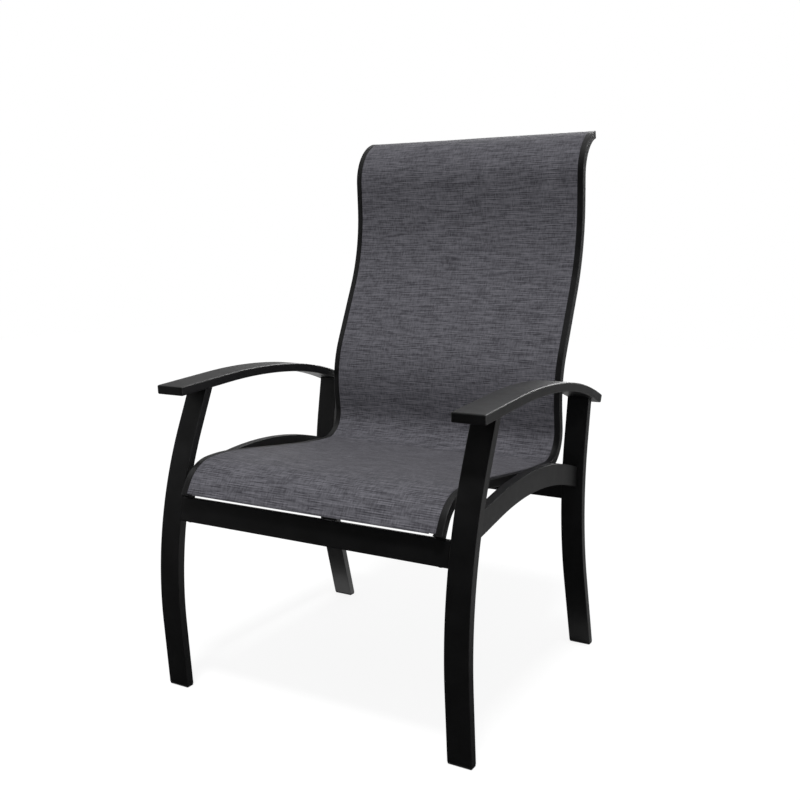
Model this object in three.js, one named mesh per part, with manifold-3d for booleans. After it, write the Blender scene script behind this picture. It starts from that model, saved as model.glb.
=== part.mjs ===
// A high-back sling patio chair: bent aluminium bars, a cloth sling stretched between two S-bent rails.
// Sizes are in millimetres. X runs to the sitter's left, Y to the back and Z up.

import * as THREE from 'three';
import { mergeVertices } from 'three/addons/utils/BufferGeometryUtils.js';
import Module from 'manifold-3d';

const wasm = await Module();
wasm.setup();

// Fits and drawing accuracy
const SEAT_GAP = 0.3; // left between two pieces that touch
const CHORD_SAG = 0.5; // how far a chord may lie inside the arc that it stands for
const OVERRUN = 30; // how far a cutting tool passes the piece that it cuts

// Stance
const OVERALL_WIDTH = 698.5; // over the armrests
const FOOT_SPACING = 602.3; // from the front foot's front face to the rear foot's, on the floor
const ARM_HEIGHT = 604.7; // floor to the top of the armrest at its front end
const CROSS_RAIL_HEIGHT = 345.2; // floor to the lower front edge of the cross rails

// Leg bar
const LEG_WIDTH = 46.7;
const BAR_THICKNESS = 17.8;
const BAR_WALL = 2;
const BAR_EDGE = 1.5; // radius on the bar's long edges
const EDGE_FACETS = 2; // flats that stand for a rounded edge

// Bends of the legs' front faces, from the floor up; headings and turns in degrees, left turns positive
const FRONT_LEG_HEADING = 95.26;
const FRONT_LEG_STRAIGHT = 136.6;
const FRONT_LEG_RADIUS = 777;
const FRONT_LEG_ANGLE = -29.02;
const REAR_LEG_HEADING = 106.85;
const REAR_LEG_STRAIGHT = 168.7;
const REAR_LEG_RADIUS = 688;
const REAR_LEG_ANGLE = -26.3;

// Armrest
const ARM_WIDTH = 63.5;
const ARM_THICKNESS = 18;
const ARM_WALL = 2.5;
const ARM_SIDE_EDGE = 3; // radius on the long edges
const ARM_END_EDGE = 3.8; // radius on the edges of the closed ends
const ARM_END_WALL = 8; // thickness of the closed ends
const ARM_SIDE_OVERHANG = 13.3; // past the leg's outer face
const ARM_FRONT_OVERHANG = 79; // ahead of the front leg's face line
const ARM_REAR_OVERHANG = 38.5; // behind the rear leg's face line
const ARM_HEADING = 4.31;
const ARM_STRAIGHT_SHARE = 0.245; // of the length of the top face
const ARM_CROWN_SHARE = 0.386;
const ARM_CROWN_ANGLE = -9.89;
const ARM_TAIL_SHARE = 0.369;
const ARM_TAIL_ANGLE = -15.88;

// Arched rail under each side of the seat
const SIDE_RAIL_HEIGHT = 42;
const SIDE_RAIL_FRONT_LEVEL = 403.9; // centre line at the front leg
const SIDE_RAIL_REAR_LEVEL = 392.4; // centre line at the rear leg
const SIDE_RAIL_HEADING = 10.1;
const SIDE_RAIL_STRAIGHT_SHARE = 0.225; // of the distance between the legs

// Cross rails between the legs
const CROSS_RAIL_DEPTH = 46.3; // from lower to upper edge

// Sling rail extrusion
const RAIL_WIDTH = 17.8;
const RAIL_DEPTH = 16.5;
const RAIL_EDGE = 1.3;
const RAIL_LIP_EDGE = 0.9; // radius on the lip that the cloth slides over
const RAIL_WALL = 2;
const RAIL_SIDE_CLEARANCE = 4.5; // to the armrest or the leg, whichever reaches further in
const RAIL_FOOT_CLEARANCE = 0.8; // between the rail's foot and the front cross rail's upper edge
const RAIL_END_RUN = 3.9; // from the rail's foot to the cloth's front edge
const CAP_THICKNESS = 2;
const CAP_STEM = 10;

// Bends of the sling's face from the front edge, under the knees, over the seat and up the back
const FOOT_HEADING = 61.2;
const FOOT_STRAIGHT = 24.3;
const KNEE_RADIUS = 79.6;
const KNEE_ANGLE = -56.2;
const THIGH_RADIUS = 417;
const THIGH_ANGLE = -11.4;
const DIP_RADIUS = 1358;
const DIP_ANGLE = 5.8;
const HIP_RADIUS = 54.1;
const HIP_ANGLE = 98;
const HIP_SETBACK = 47.9; // from the hip bend's centre to the rear cross rail's face
const LOIN_STRAIGHT = 40.2;
const LUMBAR_RADIUS = 226.7;
const LUMBAR_ANGLE = -31.7;
const BACK_STRAIGHT = 136.6;
const SHOULDER_RADIUS = 390.4;
const SHOULDER_ANGLE = 27.9;
const HEAD_STRAIGHT = 52.9;
const HEAD_ROLL_RADIUS = 97.2;
const HEAD_ROLL_ANGLE = -77.1;

// Sling cloth and the rod in each of its hems
const CLOTH_THICKNESS = 1.2;
const HEM_ROD_DIAMETER = 4;
const GROOVE_INSET = 4.05; // from the rail's inner face to the middle of the groove's mouth
const GROOVE_BACKSET = 2.2; // from the middle of the mouth outwards to the middle of the groove
const GROOVE_DEPTH = 5.6; // from the rail's face to the middle of the groove
const HEM_FACETS = 6;
const GROOVE_FACETS = 8;

// Glides under the legs
const GLIDE_HEIGHT = 5;
const GLIDE_EDGE = 3; // radius on the sole's edges
const GLIDE_CORNER = 3.2; // radius on the upright edges
const GLIDE_STEM = 18;

// Screws, spacers and tabs
const SCREW_DIAMETER = 4;
const SCREW_HEAD_DIAMETER = 8.5;
const SCREW_HEAD_HEIGHT = 1.3;
const SCREW_FACETS = 10;
const SPACER_FACETS = 12;
const SCREW_GRIP = 4.5; // thread engaged across the rail's thick rear wall
const SCREW_BITE = 8; // thread engaged along that wall or in a plug
const SPACER_DIAMETER = 8;
const SPACER_SETBACK = 8.9; // from the cross rail's front face
const TAB_THICKNESS = 4;
const TAB_WIDTH = 17;
const TAB_EDGE = 5;
const TAB_HEAD = 8; // from the screw up to the tab's top
const TAB_SCREW_SETBACK = 5.5; // from the cross rail's face back to the tab's screw

// Spreader bars behind the cloth
const SPREADER_DIAMETER = 16;
const SPREADER_WALL = 1.6;
const SPREADER_ANGLE = 7; // degrees by which each end leans, so that the middle keeps away from the cloth
const SPREADER_FACETS = 12;
const SPREADER_PLUG = 14;

// Finishes
const POWDER_COAT = { color: 0x1c1c1e, roughness: 0.5, metalness: 0.1 };
const WOVEN_CLOTH = { color: 0x5c5b60, roughness: 0.95, metalness: 0 };
const BLACK_NYLON = { color: 0x141415, roughness: 0.6, metalness: 0 };
const BLACK_STEEL = { color: 0x202022, roughness: 0.4, metalness: 0.7 };

const { degToRad, radToDeg } = THREE.MathUtils;
const ACROSS = new THREE.Vector3(1, 0, 0);

// A bent bar's face line in the side view, made of straights and arcs that run on smoothly
class BendLine extends THREE.Curve {
  constructor({ y, z, heading }, pieces) {
    super();
    this.stations = [{ y, z, heading }];
    this.marks = {}; // the middle of each named straight and the start of each named arc
    this.add(pieces);
  }

  get end() {
    return this.stations[this.stations.length - 1];
  }

  add(pieces) {
    for (const { straight = 0, radius, turn, name } of pieces) {
      if (name) this.marks[name] = moved(this.end, straight / 2, 0);
      if (radius) this.bend(radius, degToRad(turn));
      else this.step(straight, 0);
    }
    return this;
  }

  // One chord; an arc's chord points midway between the headings at its two ends
  step(chord, turn) {
    const { heading } = this.end;
    const { y, z } = moved({ ...this.end, heading: heading + turn / 2 }, chord, 0);
    this.stations.push({ y, z, heading: heading + turn });
  }

  bend(radius, turn) {
    const widest = 2 * Math.acos(1 - CHORD_SAG / radius);
    const count = Math.ceil(Math.abs(turn) / widest);
    const chord = 2 * radius * Math.sin(Math.abs(turn) / count / 2);
    for (let i = 0; i < count; i++) this.step(chord, turn / count);
  }

  // Ends the line where it meets a line of points, going straight on if it stops short of them
  upTo(points) {
    while (reach(this.end, points) <= 0) this.stations.pop();
    this.step(reach(this.end, points), 0);
  }

  // Where the line first rises past a height
  atHeight(height) {
    const next = this.stations.findIndex(({ z }) => z >= height);
    const [low, high] = this.stations.slice(next - 1, next + 1);
    return between(low, high, (height - low.z) / (high.z - low.z));
  }

  getPointAt(u) {
    const { y, z } = this.stations[Math.round(u * (this.stations.length - 1))];
    return new THREE.Vector3(0, y, z);
  }

  getTangentAt(u) {
    return direction(this.stations[Math.round(u * (this.stations.length - 1))]);
  }

  // A section's first axis stays level across the chair, its second stands off the line's left side
  computeFrenetFrames(count) {
    const tangents = Array.from({ length: count + 1 }, (_, i) => this.getTangentAt(i / count));
    const normals = tangents.map(() => ACROSS.clone().negate());
    const binormals = tangents.map((way) => new THREE.Vector3(0, -way.z, way.y));
    return { tangents, normals, binormals };
  }
}

function direction({ heading }) {
  return new THREE.Vector3(0, Math.cos(heading), Math.sin(heading));
}

// A place on a line, moved along the line and off its left side
function moved({ y, z, heading }, along, left) {
  return {
    y: y + along * Math.cos(heading) - left * Math.sin(heading),
    z: z + along * Math.sin(heading) + left * Math.cos(heading),
    heading,
  };
}

// A place part of the way from one station to another
function between(a, b, share) {
  const mix = (key) => THREE.MathUtils.lerp(a[key], b[key], share);
  return { y: mix('y'), z: mix('z'), heading: mix('heading') };
}

function lineThrough(stations) {
  const line = new BendLine(stations[0], []);
  line.stations = stations;
  return line;
}

// The same line drawn at a distance off its left side, as points of the side view
function offset(line, left) {
  return line.stations.map((station) => {
    const { y, z } = moved(station, 0, left);
    return new THREE.Vector2(y, z);
  });
}

// The outline between two distances off a line's left side
function band(line, left, right) {
  return [...offset(line, left), ...offset(line, right).reverse()];
}

// The line without a length at each end
function shortened(line, length) {
  const { stations } = line;
  return lineThrough([moved(stations[0], length, 0), ...stations.slice(1, -1), moved(line.end, -length, 0)]);
}

// How far a place lies, along its heading, from a line of points
function reach({ y, z, heading }, points) {
  const way = new THREE.Vector2(Math.cos(heading), Math.sin(heading));
  const from = new THREE.Vector2(y, z);
  for (let i = 1; i < points.length; i++) {
    const chord = points[i].clone().sub(points[i - 1]);
    const gap = points[i - 1].clone().sub(from);
    const share = gap.cross(way) / way.cross(chord);
    if (share >= 0 && share <= 1) return gap.addScaledVector(chord, share).dot(way);
  }
  throw new Error('the bar does not meet the line');
}

// A closed outline of corners, each with its fillet radius
function filleted(corners, facets = EDGE_FACETS) {
  const corner = (i) => new THREE.Vector2(...corners.at(i % corners.length));
  return corners.flatMap(([, , radius = 0], i) => {
    if (radius === 0) return [corner(i)];
    const back = corner(i - 1).sub(corner(i)).normalize();
    const on = corner(i + 1).sub(corner(i)).normalize();
    const half = Math.acos(back.dot(on)) / 2;
    const centre = corner(i).add(back.clone().add(on).setLength(radius / Math.sin(half)));
    const from = corner(i).addScaledVector(back, radius / Math.tan(half)).sub(centre);
    const turn = Math.sign(on.cross(back)) * (Math.PI - 2 * half);
    const spoke = (k) => from.clone().rotateAround(new THREE.Vector2(), turn * k / facets).add(centre);
    return Array.from({ length: facets + 1 }, (_, k) => spoke(k));
  });
}

function rectangle(left, right, bottom, top, radius) {
  const corners = [[right, bottom], [right, top], [left, top], [left, bottom]];
  return filleted(corners.map((corner) => [...corner, radius]));
}

// Points on a circle, from one angle to another
function arc(x, y, radius, from, to, facets) {
  return Array.from({ length: facets + 1 }, (_, i) => {
    const angle = THREE.MathUtils.lerp(from, to, i / facets);
    return new THREE.Vector2(x + radius * Math.cos(angle), y + radius * Math.sin(angle));
  });
}

function sectionOf(outline, ...holes) {
  const shape = new THREE.Shape(outline);
  shape.holes = holes.map((hole) => new THREE.Path(hole));
  return shape;
}

// The inside of a bar's section whose face lies at zero, with its wall taken off all round
function boreOf(width, depth, wall, edge) {
  const half = width / 2 - wall;
  return rectangle(-half, half, wall - depth, -wall, Math.max(edge - wall, wall / 2));
}

function tubeOf(width, depth, wall, edge) {
  return sectionOf(rectangle(-width / 2, width / 2, -depth, 0, edge), boreOf(width, depth, wall, edge));
}

function sweep(shape, line) {
  return new THREE.ExtrudeGeometry(shape, { steps: line.stations.length - 1, extrudePath: line });
}

// Side-view outlines have Y and Z as their axes and grow along X
const ONTO_SIDE = new THREE.Matrix4().makeBasis(
  new THREE.Vector3(0, 1, 0), new THREE.Vector3(0, 0, 1), ACROSS);

function slab(shape, from, to, edge = 0) {
  const geometry = new THREE.ExtrudeGeometry(shape, {
    depth: to - from - 2 * edge,
    bevelEnabled: edge > 0,
    bevelThickness: edge,
    bevelSize: edge,
    bevelOffset: -edge,
    bevelSegments: EDGE_FACETS,
  });
  return geometry.translate(0, 0, from + edge).applyMatrix4(ONTO_SIDE);
}

function block(from, to) {
  const size = to.clone().sub(from);
  const centre = from.clone().add(to).divideScalar(2);
  return new THREE.BoxGeometry(size.x, size.y, size.z).translate(centre.x, centre.y, centre.z);
}

function toSolid(geometry) {
  const bare = geometry.clone();
  bare.deleteAttribute('normal');
  bare.deleteAttribute('uv');
  const merged = mergeVertices(bare);
  const vertProperties = new Float32Array(merged.attributes.position.array);
  const triVerts = new Uint32Array(merged.index.array);
  return new wasm.Manifold(new wasm.Mesh({ numProp: 3, vertProperties, triVerts }));
}

function toGeometry(solid) {
  const { vertProperties, triVerts } = solid.getMesh();
  const geometry = new THREE.BufferGeometry();
  geometry.setAttribute('position', new THREE.BufferAttribute(vertProperties, 3));
  geometry.setIndex(new THREE.BufferAttribute(triVerts, 1));
  geometry.computeVertexNormals();
  return geometry;
}

function cut(body, ...tools) {
  return toGeometry(tools.reduce((solid, tool) => solid.subtract(toSolid(tool)), toSolid(body)));
}

function join(...bodies) {
  return toGeometry(bodies.map(toSolid).reduce((whole, body) => whole.add(body)));
}

function pointed(geometry, start, way) {
  geometry.applyQuaternion(new THREE.Quaternion().setFromUnitVectors(new THREE.Vector3(0, 1, 0), way));
  return geometry.translate(start.x, start.y, start.z);
}

// A round bar that begins at a start and runs one way
function rod(diameter, length, start, way, facets = SCREW_FACETS) {
  const geometry = new THREE.CylinderGeometry(diameter / 2, diameter / 2, length, facets);
  return pointed(geometry.translate(0, length / 2, 0), start, way);
}

// A screw's bore, whose flats clear the shank
function bore(length, start, way) {
  const diameter = (SCREW_DIAMETER + 2 * SEAT_GAP) / Math.cos(Math.PI / SCREW_FACETS);
  return rod(diameter, length, start, way);
}

// A button-head screw, from the underside of its head
function screw(length, start, way) {
  const [head, shank, height] = [SCREW_HEAD_DIAMETER / 2, SCREW_DIAMETER / 2, SCREW_HEAD_HEIGHT];
  const profile = [[0, -height], [head / 2, -height], [head, -height / 2], [head, 0], [shank, 0],
    [shank, length - shank / 2], [shank / 2, length], [0, length]];
  const geometry = new THREE.LatheGeometry(profile.map(([r, y]) => new THREE.Vector2(r, y)), SCREW_FACETS);
  return pointed(geometry, start, way);
}

// Places across the chair
const legCentre = OVERALL_WIDTH / 2 - ARM_SIDE_OVERHANG - LEG_WIDTH / 2;
const legInner = legCentre - LEG_WIDTH / 2;
const armCentre = OVERALL_WIDTH / 2 - ARM_WIDTH / 2;
const railOuter = Math.min(legInner, armCentre - ARM_WIDTH / 2) - RAIL_SIDE_CLEARANCE;
const railInner = railOuter - RAIL_WIDTH;
const railCentre = (railInner + railOuter) / 2;
const SIDES = [['left', 1], ['right', -1]];

// A leg's face line up to the end of its bend, begun below the floor so that the foot is cut level
function legLine(footFace, heading, straight, radius, turn) {
  const foot = moved({ y: footFace, z: 0, heading: degToRad(heading) }, -BAR_THICKNESS, 0);
  return new BendLine(foot, [{ straight: straight + BAR_THICKNESS }, { radius, turn }]);
}
const frontLeg = legLine(0, FRONT_LEG_HEADING, FRONT_LEG_STRAIGHT, FRONT_LEG_RADIUS, FRONT_LEG_ANGLE);
const rearLeg = legLine(FOOT_SPACING, REAR_LEG_HEADING, REAR_LEG_STRAIGHT, REAR_LEG_RADIUS, REAR_LEG_ANGLE);

// The armrest's top face: a straight, a long crown and a tighter tail, over both legs and their overhangs
function armLine() {
  const aboveLeg = ({ end }) => end.y + (ARM_HEIGHT - end.z) / Math.tan(end.heading);
  const front = aboveLeg(frontLeg) - ARM_FRONT_OVERHANG;
  const span = aboveLeg(rearLeg) + ARM_REAR_OVERHANG - front;
  const drawn = (length) => new BendLine({ y: front, z: ARM_HEIGHT, heading: degToRad(ARM_HEADING) }, [
    { straight: ARM_STRAIGHT_SHARE * length },
    { radius: ARM_CROWN_SHARE * length / Math.abs(degToRad(ARM_CROWN_ANGLE)), turn: ARM_CROWN_ANGLE },
    { radius: ARM_TAIL_SHARE * length / Math.abs(degToRad(ARM_TAIL_ANGLE)), turn: ARM_TAIL_ANGLE },
  ]);
  return drawn(span * span / (drawn(span).end.y - front));
}
const armTop = armLine();

// Each leg runs up through the armrest, whose underside then cuts it
for (const leg of [frontLeg, rearLeg]) leg.upTo(offset(armTop, 0));

// The middles of the cross rails' front faces, which lie in the legs' front faces
const crossRailMiddle = CROSS_RAIL_HEIGHT + CROSS_RAIL_DEPTH / 2;
const frontCross = frontLeg.atHeight(crossRailMiddle);
const rearCross = rearLeg.atHeight(crossRailMiddle);

// The arched side rail's centre line: a straight from the front leg, then one arc to the rear leg
function sideRailLine() {
  const inLeg = (leg, level) => moved(leg.atHeight(level), 0, -BAR_THICKNESS / 2);
  const from = { ...inLeg(frontLeg, SIDE_RAIL_FRONT_LEVEL), heading: degToRad(SIDE_RAIL_HEADING) };
  const to = inLeg(rearLeg, SIDE_RAIL_REAR_LEVEL);
  const line = new BendLine(from, [{ straight: SIDE_RAIL_STRAIGHT_SHARE * (to.y - from.y) }]);
  const chord = new THREE.Vector2(to.y - line.end.y, to.z - line.end.z);
  const halfTurn = Math.atan2(chord.y, chord.x) - from.heading;
  const radius = chord.length() / 2 / Math.sin(Math.abs(halfTurn));
  return line.add([{ radius, turn: radToDeg(2 * halfTurn) }]);
}

// The sling's face line, begun at a distance from the rail's foot, which stands on the front cross rail
function slingLine(fromFoot) {
  const edge = moved(frontCross, CROSS_RAIL_DEPTH / 2, 0);
  const heel = { y: edge.y - RAIL_FOOT_CLEARANCE, z: edge.z, heading: degToRad(FOOT_HEADING) };
  const line = new BendLine(moved(heel, fromFoot, RAIL_DEPTH), [
    { straight: FOOT_STRAIGHT - fromFoot },
    { radius: KNEE_RADIUS, turn: KNEE_ANGLE },
    { radius: THIGH_RADIUS, turn: THIGH_ANGLE },
  ]);
  const dip = { radius: DIP_RADIUS, turn: DIP_ANGLE, name: 'seat' };
  const hip = moved(new BendLine(line.end, [dip]).end, 0, HIP_RADIUS);
  return line.add([
    { straight: (rearCross.y - HIP_SETBACK - hip.y) / Math.cos(line.end.heading) },
    dip,
    { radius: HIP_RADIUS, turn: HIP_ANGLE, name: 'hip' },
    { straight: LOIN_STRAIGHT },
    { radius: LUMBAR_RADIUS, turn: LUMBAR_ANGLE },
    { straight: BACK_STRAIGHT, name: 'back' },
    { radius: SHOULDER_RADIUS, turn: SHOULDER_ANGLE },
    { straight: HEAD_STRAIGHT, name: 'head' },
    { radius: HEAD_ROLL_RADIUS, turn: HEAD_ROLL_ANGLE },
  ]);
}
const railLine = slingLine(CAP_THICKNESS + SEAT_GAP);
const clothLine = slingLine(RAIL_END_RUN);

// The hem's pocket round its rod, and the groove round the hem
const hemBore = HEM_ROD_DIAMETER / 2 + SEAT_GAP;
const hemRadius = hemBore + CLOTH_THICKNESS;
const grooveRadius = hemRadius + SEAT_GAP;
const screwLevel = -(GROOVE_DEPTH + grooveRadius + RAIL_DEPTH) / 2;

// A ring, open where a neck of some half width enters it from above, going round below
function openRing(x, y, radius, facets, neck, halfNeck) {
  const side = (off) => Math.acos((neck + off - x) / radius);
  return arc(x, y, radius, side(-halfNeck), side(halfNeck) + 2 * Math.PI, facets);
}

// The rail: a groove with a narrow mouth for the hem, and a bore beside it; outwards is positive
function railSection(side) {
  const front = -CLOTH_THICKNESS - SEAT_GAP;
  const mouth = CLOTH_THICKNESS / 2 + SEAT_GAP;
  const middle = GROOVE_INSET + GROOVE_BACKSET;
  const radius = grooveRadius / Math.cos(Math.PI / GROOVE_FACETS);
  const outline = [
    ...filleted([[GROOVE_INSET + mouth, 0], [RAIL_WIDTH, 0, RAIL_EDGE], [RAIL_WIDTH, -RAIL_DEPTH, RAIL_EDGE],
      [0, -RAIL_DEPTH, RAIL_EDGE], [0, front, RAIL_LIP_EDGE], [GROOVE_INSET - mouth, front]]),
    ...openRing(middle, -GROOVE_DEPTH, radius, GROOVE_FACETS, GROOVE_INSET, mouth),
  ];
  const across = ({ x, y }) => new THREE.Vector2(-side * x, y);
  return sectionOf(outline.map(across), railBore(0).map(across));
}

// The bore between the groove and the rail's outer wall, smaller by a clearance
function railBore(clearance) {
  const inner = GROOVE_INSET + GROOVE_BACKSET + grooveRadius + RAIL_WALL / 2;
  return rectangle(inner + clearance, RAIL_WIDTH - RAIL_WALL - clearance,
    RAIL_WALL - RAIL_DEPTH + clearance, -RAIL_WALL - clearance, RAIL_WALL / 2);
}

// The cloth, which lies flush with the rails' faces and turns down into their grooves round the hem rods
function clothSection() {
  const neck = railInner + GROOVE_INSET;
  const middle = neck + GROOVE_BACKSET;
  const half = CLOTH_THICKNESS / 2;
  const edge = [
    new THREE.Vector2(neck + half, 0),
    ...openRing(middle, -GROOVE_DEPTH, hemRadius, HEM_FACETS + 1, neck, half).reverse(),
    new THREE.Vector2(neck - half, -CLOTH_THICKNESS),
  ];
  const pocket = arc(middle, -GROOVE_DEPTH, hemBore / Math.cos(Math.PI / HEM_FACETS), 0,
    2 * Math.PI * (1 - 1 / HEM_FACETS), HEM_FACETS - 1);
  const mirrored = (points) => points.map(({ x, y }) => new THREE.Vector2(-x, y)).reverse();
  return sectionOf([...edge, ...mirrored(edge)], pocket, mirrored(pocket));
}

const chair = new THREE.Group();

function place(name, geometry, finish, x = 0) {
  const piece = new THREE.Mesh(geometry, new THREE.MeshStandardMaterial(finish));
  piece.name = name;
  piece.position.x = x;
  chair.add(piece);
  return piece;
}

function point(x, { y, z }) {
  return new THREE.Vector3(x, y, z);
}

// What a level box round the chair's side holds between two heights
function layer(bottom, top) {
  const [low, high] = [-OVERRUN - ARM_FRONT_OVERHANG, FOOT_SPACING + OVERRUN + ARM_REAR_OVERHANG];
  return block(new THREE.Vector3(-ARM_WIDTH, low, bottom), new THREE.Vector3(ARM_WIDTH, high, top));
}

// Legs: bent tubes between the glide and the armrest's underside
function legGeometry(line) {
  const arm = slab(new THREE.Shape(band(armTop, OVERRUN, -ARM_THICKNESS - SEAT_GAP)), -ARM_WIDTH, ARM_WIDTH);
  const tube = sweep(tubeOf(LEG_WIDTH, BAR_THICKNESS, BAR_WALL, BAR_EDGE), line);
  return cut(tube, layer(-OVERRUN, GLIDE_HEIGHT + SEAT_GAP), arm);
}

// A glide: a foot with the leg's outline, sheared to the leg's lean, and a stem up the leg's bore
function glideGeometry({ stations: [start, second] }) {
  const { heading } = start;
  const foot = moved(start, -start.z / Math.sin(heading), 0);
  const half = LEG_WIDTH / 2;
  const sole = new THREE.ExtrudeGeometry(
    new THREE.Shape(rectangle(-half, half, 0, BAR_THICKNESS / Math.sin(heading), GLIDE_CORNER)),
    {
      depth: 2 * (GLIDE_HEIGHT - GLIDE_EDGE),
      bevelThickness: GLIDE_EDGE,
      bevelSize: GLIDE_EDGE,
      bevelOffset: -GLIDE_EDGE,
      bevelSegments: EDGE_FACETS,
    });
  sole.translate(0, 0, GLIDE_EDGE);
  sole.applyMatrix4(new THREE.Matrix4().makeShear(0, 0, 0, 0, 0, 1 / Math.tan(heading)));
  sole.translate(0, foot.y, 0);
  const stem = sweep(new THREE.Shape(boreOf(LEG_WIDTH, BAR_THICKNESS, BAR_WALL + SEAT_GAP, BAR_EDGE)),
    new BendLine(start, [{ straight: BAR_THICKNESS + GLIDE_STEM }]));
  return join(
    cut(sole, layer(GLIDE_HEIGHT, 2 * GLIDE_HEIGHT + OVERRUN)),
    cut(stem, layer(-OVERRUN, GLIDE_HEIGHT / 2)));
}

// Armrests: closed-ended flat tubes, whose bores open into the legs'
function armGeometry() {
  const last = 2 * armTop.stations.length - 1;
  const ends = [0, (last - 1) / 2, (last + 1) / 2, last];
  const side = band(armTop, 0, -ARM_THICKNESS)
    .map(({ x, y }, i) => [x, y, ends.includes(i) ? ARM_END_EDGE : 0]);
  const body = slab(new THREE.Shape(filleted(side)), -ARM_WIDTH / 2, ARM_WIDTH / 2, ARM_SIDE_EDGE);
  const bore = sweep(new THREE.Shape(boreOf(ARM_WIDTH, ARM_THICKNESS, ARM_WALL, ARM_SIDE_EDGE)),
    shortened(armTop, ARM_END_WALL));
  const legBore = new THREE.Shape(boreOf(LEG_WIDTH, BAR_THICKNESS, BAR_WALL, BAR_EDGE));
  const mouths = [frontLeg, rearLeg].map(({ end }) => sweep(legBore,
    new BendLine(moved(end, -ARM_THICKNESS - OVERRUN, 0), [{ straight: ARM_THICKNESS / 2 + OVERRUN }])));
  return cut(body, bore, ...mouths);
}

// Arched side rails: tall tubes coped to the legs at both ends
function sideRailGeometry() {
  const half = BAR_THICKNESS / 2;
  const centre = sideRailLine();
  const outline = rectangle(-half, half, -SIDE_RAIL_HEIGHT / 2, SIDE_RAIL_HEIGHT / 2, BAR_EDGE);
  const wide = half - BAR_WALL;
  const tall = SIDE_RAIL_HEIGHT / 2 - BAR_WALL;
  const inside = rectangle(-wide, wide, -tall, tall, BAR_WALL / 2);
  const ahead = band(frontLeg, OVERRUN, -BAR_THICKNESS - SEAT_GAP);
  const behind = band(rearLeg, SEAT_GAP, -BAR_THICKNESS - OVERRUN);
  const legs = [ahead, behind].map((side) => slab(new THREE.Shape(side), -BAR_THICKNESS, BAR_THICKNESS));
  return cut(sweep(sectionOf(outline, inside), centre), ...legs);
}

// A cross rail in its own frame: its front face at zero, its middle at the origin
function crossRailGeometry(screwPlaces) {
  const half = legInner - SEAT_GAP;
  const tall = CROSS_RAIL_DEPTH / 2;
  const wall = BAR_WALL;
  const outline = rectangle(0, BAR_THICKNESS, -tall, tall, BAR_EDGE);
  const inside = rectangle(wall, BAR_THICKNESS - wall, wall - tall, tall - wall, wall / 2);
  const up = new THREE.Vector3(0, 0, 1);
  const bores = screwPlaces.map(([x, y]) =>
    bore(CROSS_RAIL_DEPTH + 2 * OVERRUN, new THREE.Vector3(x, y, -tall - OVERRUN), up));
  return cut(slab(sectionOf(outline, inside), -half, half), ...bores);
}

function placeCrossRail(name, middle, screwPlaces) {
  const rail = place(name, crossRailGeometry(screwPlaces), POWDER_COAT);
  rail.position.set(0, middle.y, middle.z);
  rail.rotation.x = middle.heading - Math.PI / 2;
}

// The front mount: a spacer stands on the cross rail, and a screw from below runs through both into the rail
const spacerFoot = moved(frontCross, CROSS_RAIL_DEPTH / 2, -SPACER_SETBACK);
const spacerReach = reach(spacerFoot, offset(railLine, -RAIL_DEPTH));
const upright = direction(frontCross);

function spacerGeometry() {
  const foot = point(0, moved(spacerFoot, SEAT_GAP, 0));
  const railSide = new THREE.Shape(band(railLine, OVERRUN, -RAIL_DEPTH - SEAT_GAP));
  const rail = slab(railSide, -RAIL_WIDTH, RAIL_WIDTH);
  const post = rod(SPACER_DIAMETER, spacerReach + RAIL_DEPTH / 2, foot, upright, SPACER_FACETS);
  return cut(post, rail, bore(spacerReach + RAIL_DEPTH, point(0, moved(spacerFoot, -SEAT_GAP, 0)), upright));
}

const frontScrewLength = CROSS_RAIL_DEPTH + spacerReach + SCREW_GRIP + SEAT_GAP;
function frontScrew(x) {
  return screw(frontScrewLength, point(x, moved(spacerFoot, -CROSS_RAIL_DEPTH - SEAT_GAP, 0)), upright);
}

// The rear mount: a tab stands on the cross rail beside the rail, and a screw joins it to the rail's wall
function tabScrewAt(y) {
  const centre = moved(railLine.marks.hip, 0, HIP_RADIUS);
  return { y, z: centre.z - Math.sqrt((HIP_RADIUS - screwLevel) ** 2 - (y - centre.y) ** 2) };
}
const tabScrewPlace = tabScrewAt(rearCross.y + TAB_SCREW_SETBACK);
const tabInner = railInner - SEAT_GAP - TAB_THICKNESS;

function tabGeometry(side) {
  const foot = moved(rearCross, CROSS_RAIL_DEPTH / 2 + SEAT_GAP, 0);
  const heel = moved(foot, 0, -TAB_WIDTH);
  const top = tabScrewPlace.z + TAB_HEAD;
  const crest = [[heel.y, top, TAB_EDGE], [foot.y, top, TAB_EDGE]];
  const outline = filleted([[foot.y, foot.z], [heel.y, heel.z], ...crest]);
  const ends = [side * tabInner, side * (tabInner + TAB_THICKNESS)].sort((a, b) => a - b);
  const hole = bore(TAB_THICKNESS + 2 * OVERRUN, point(ends[0] - OVERRUN, tabScrewPlace), ACROSS);
  return cut(slab(new THREE.Shape(outline), ...ends), hole);
}

function tabScrew(side) {
  const start = point(side * (tabInner - SEAT_GAP), tabScrewPlace);
  return screw(TAB_THICKNESS + 2 * SEAT_GAP + SCREW_BITE, start, ACROSS.clone().multiplyScalar(side));
}

// Sling rails, bored for the front mount's screw, the tab's screw and the spreaders' screws
const spreaderPlaces = ['seat', 'back', 'head'].map((name) => moved(railLine.marks[name], 0, screwLevel));

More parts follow.
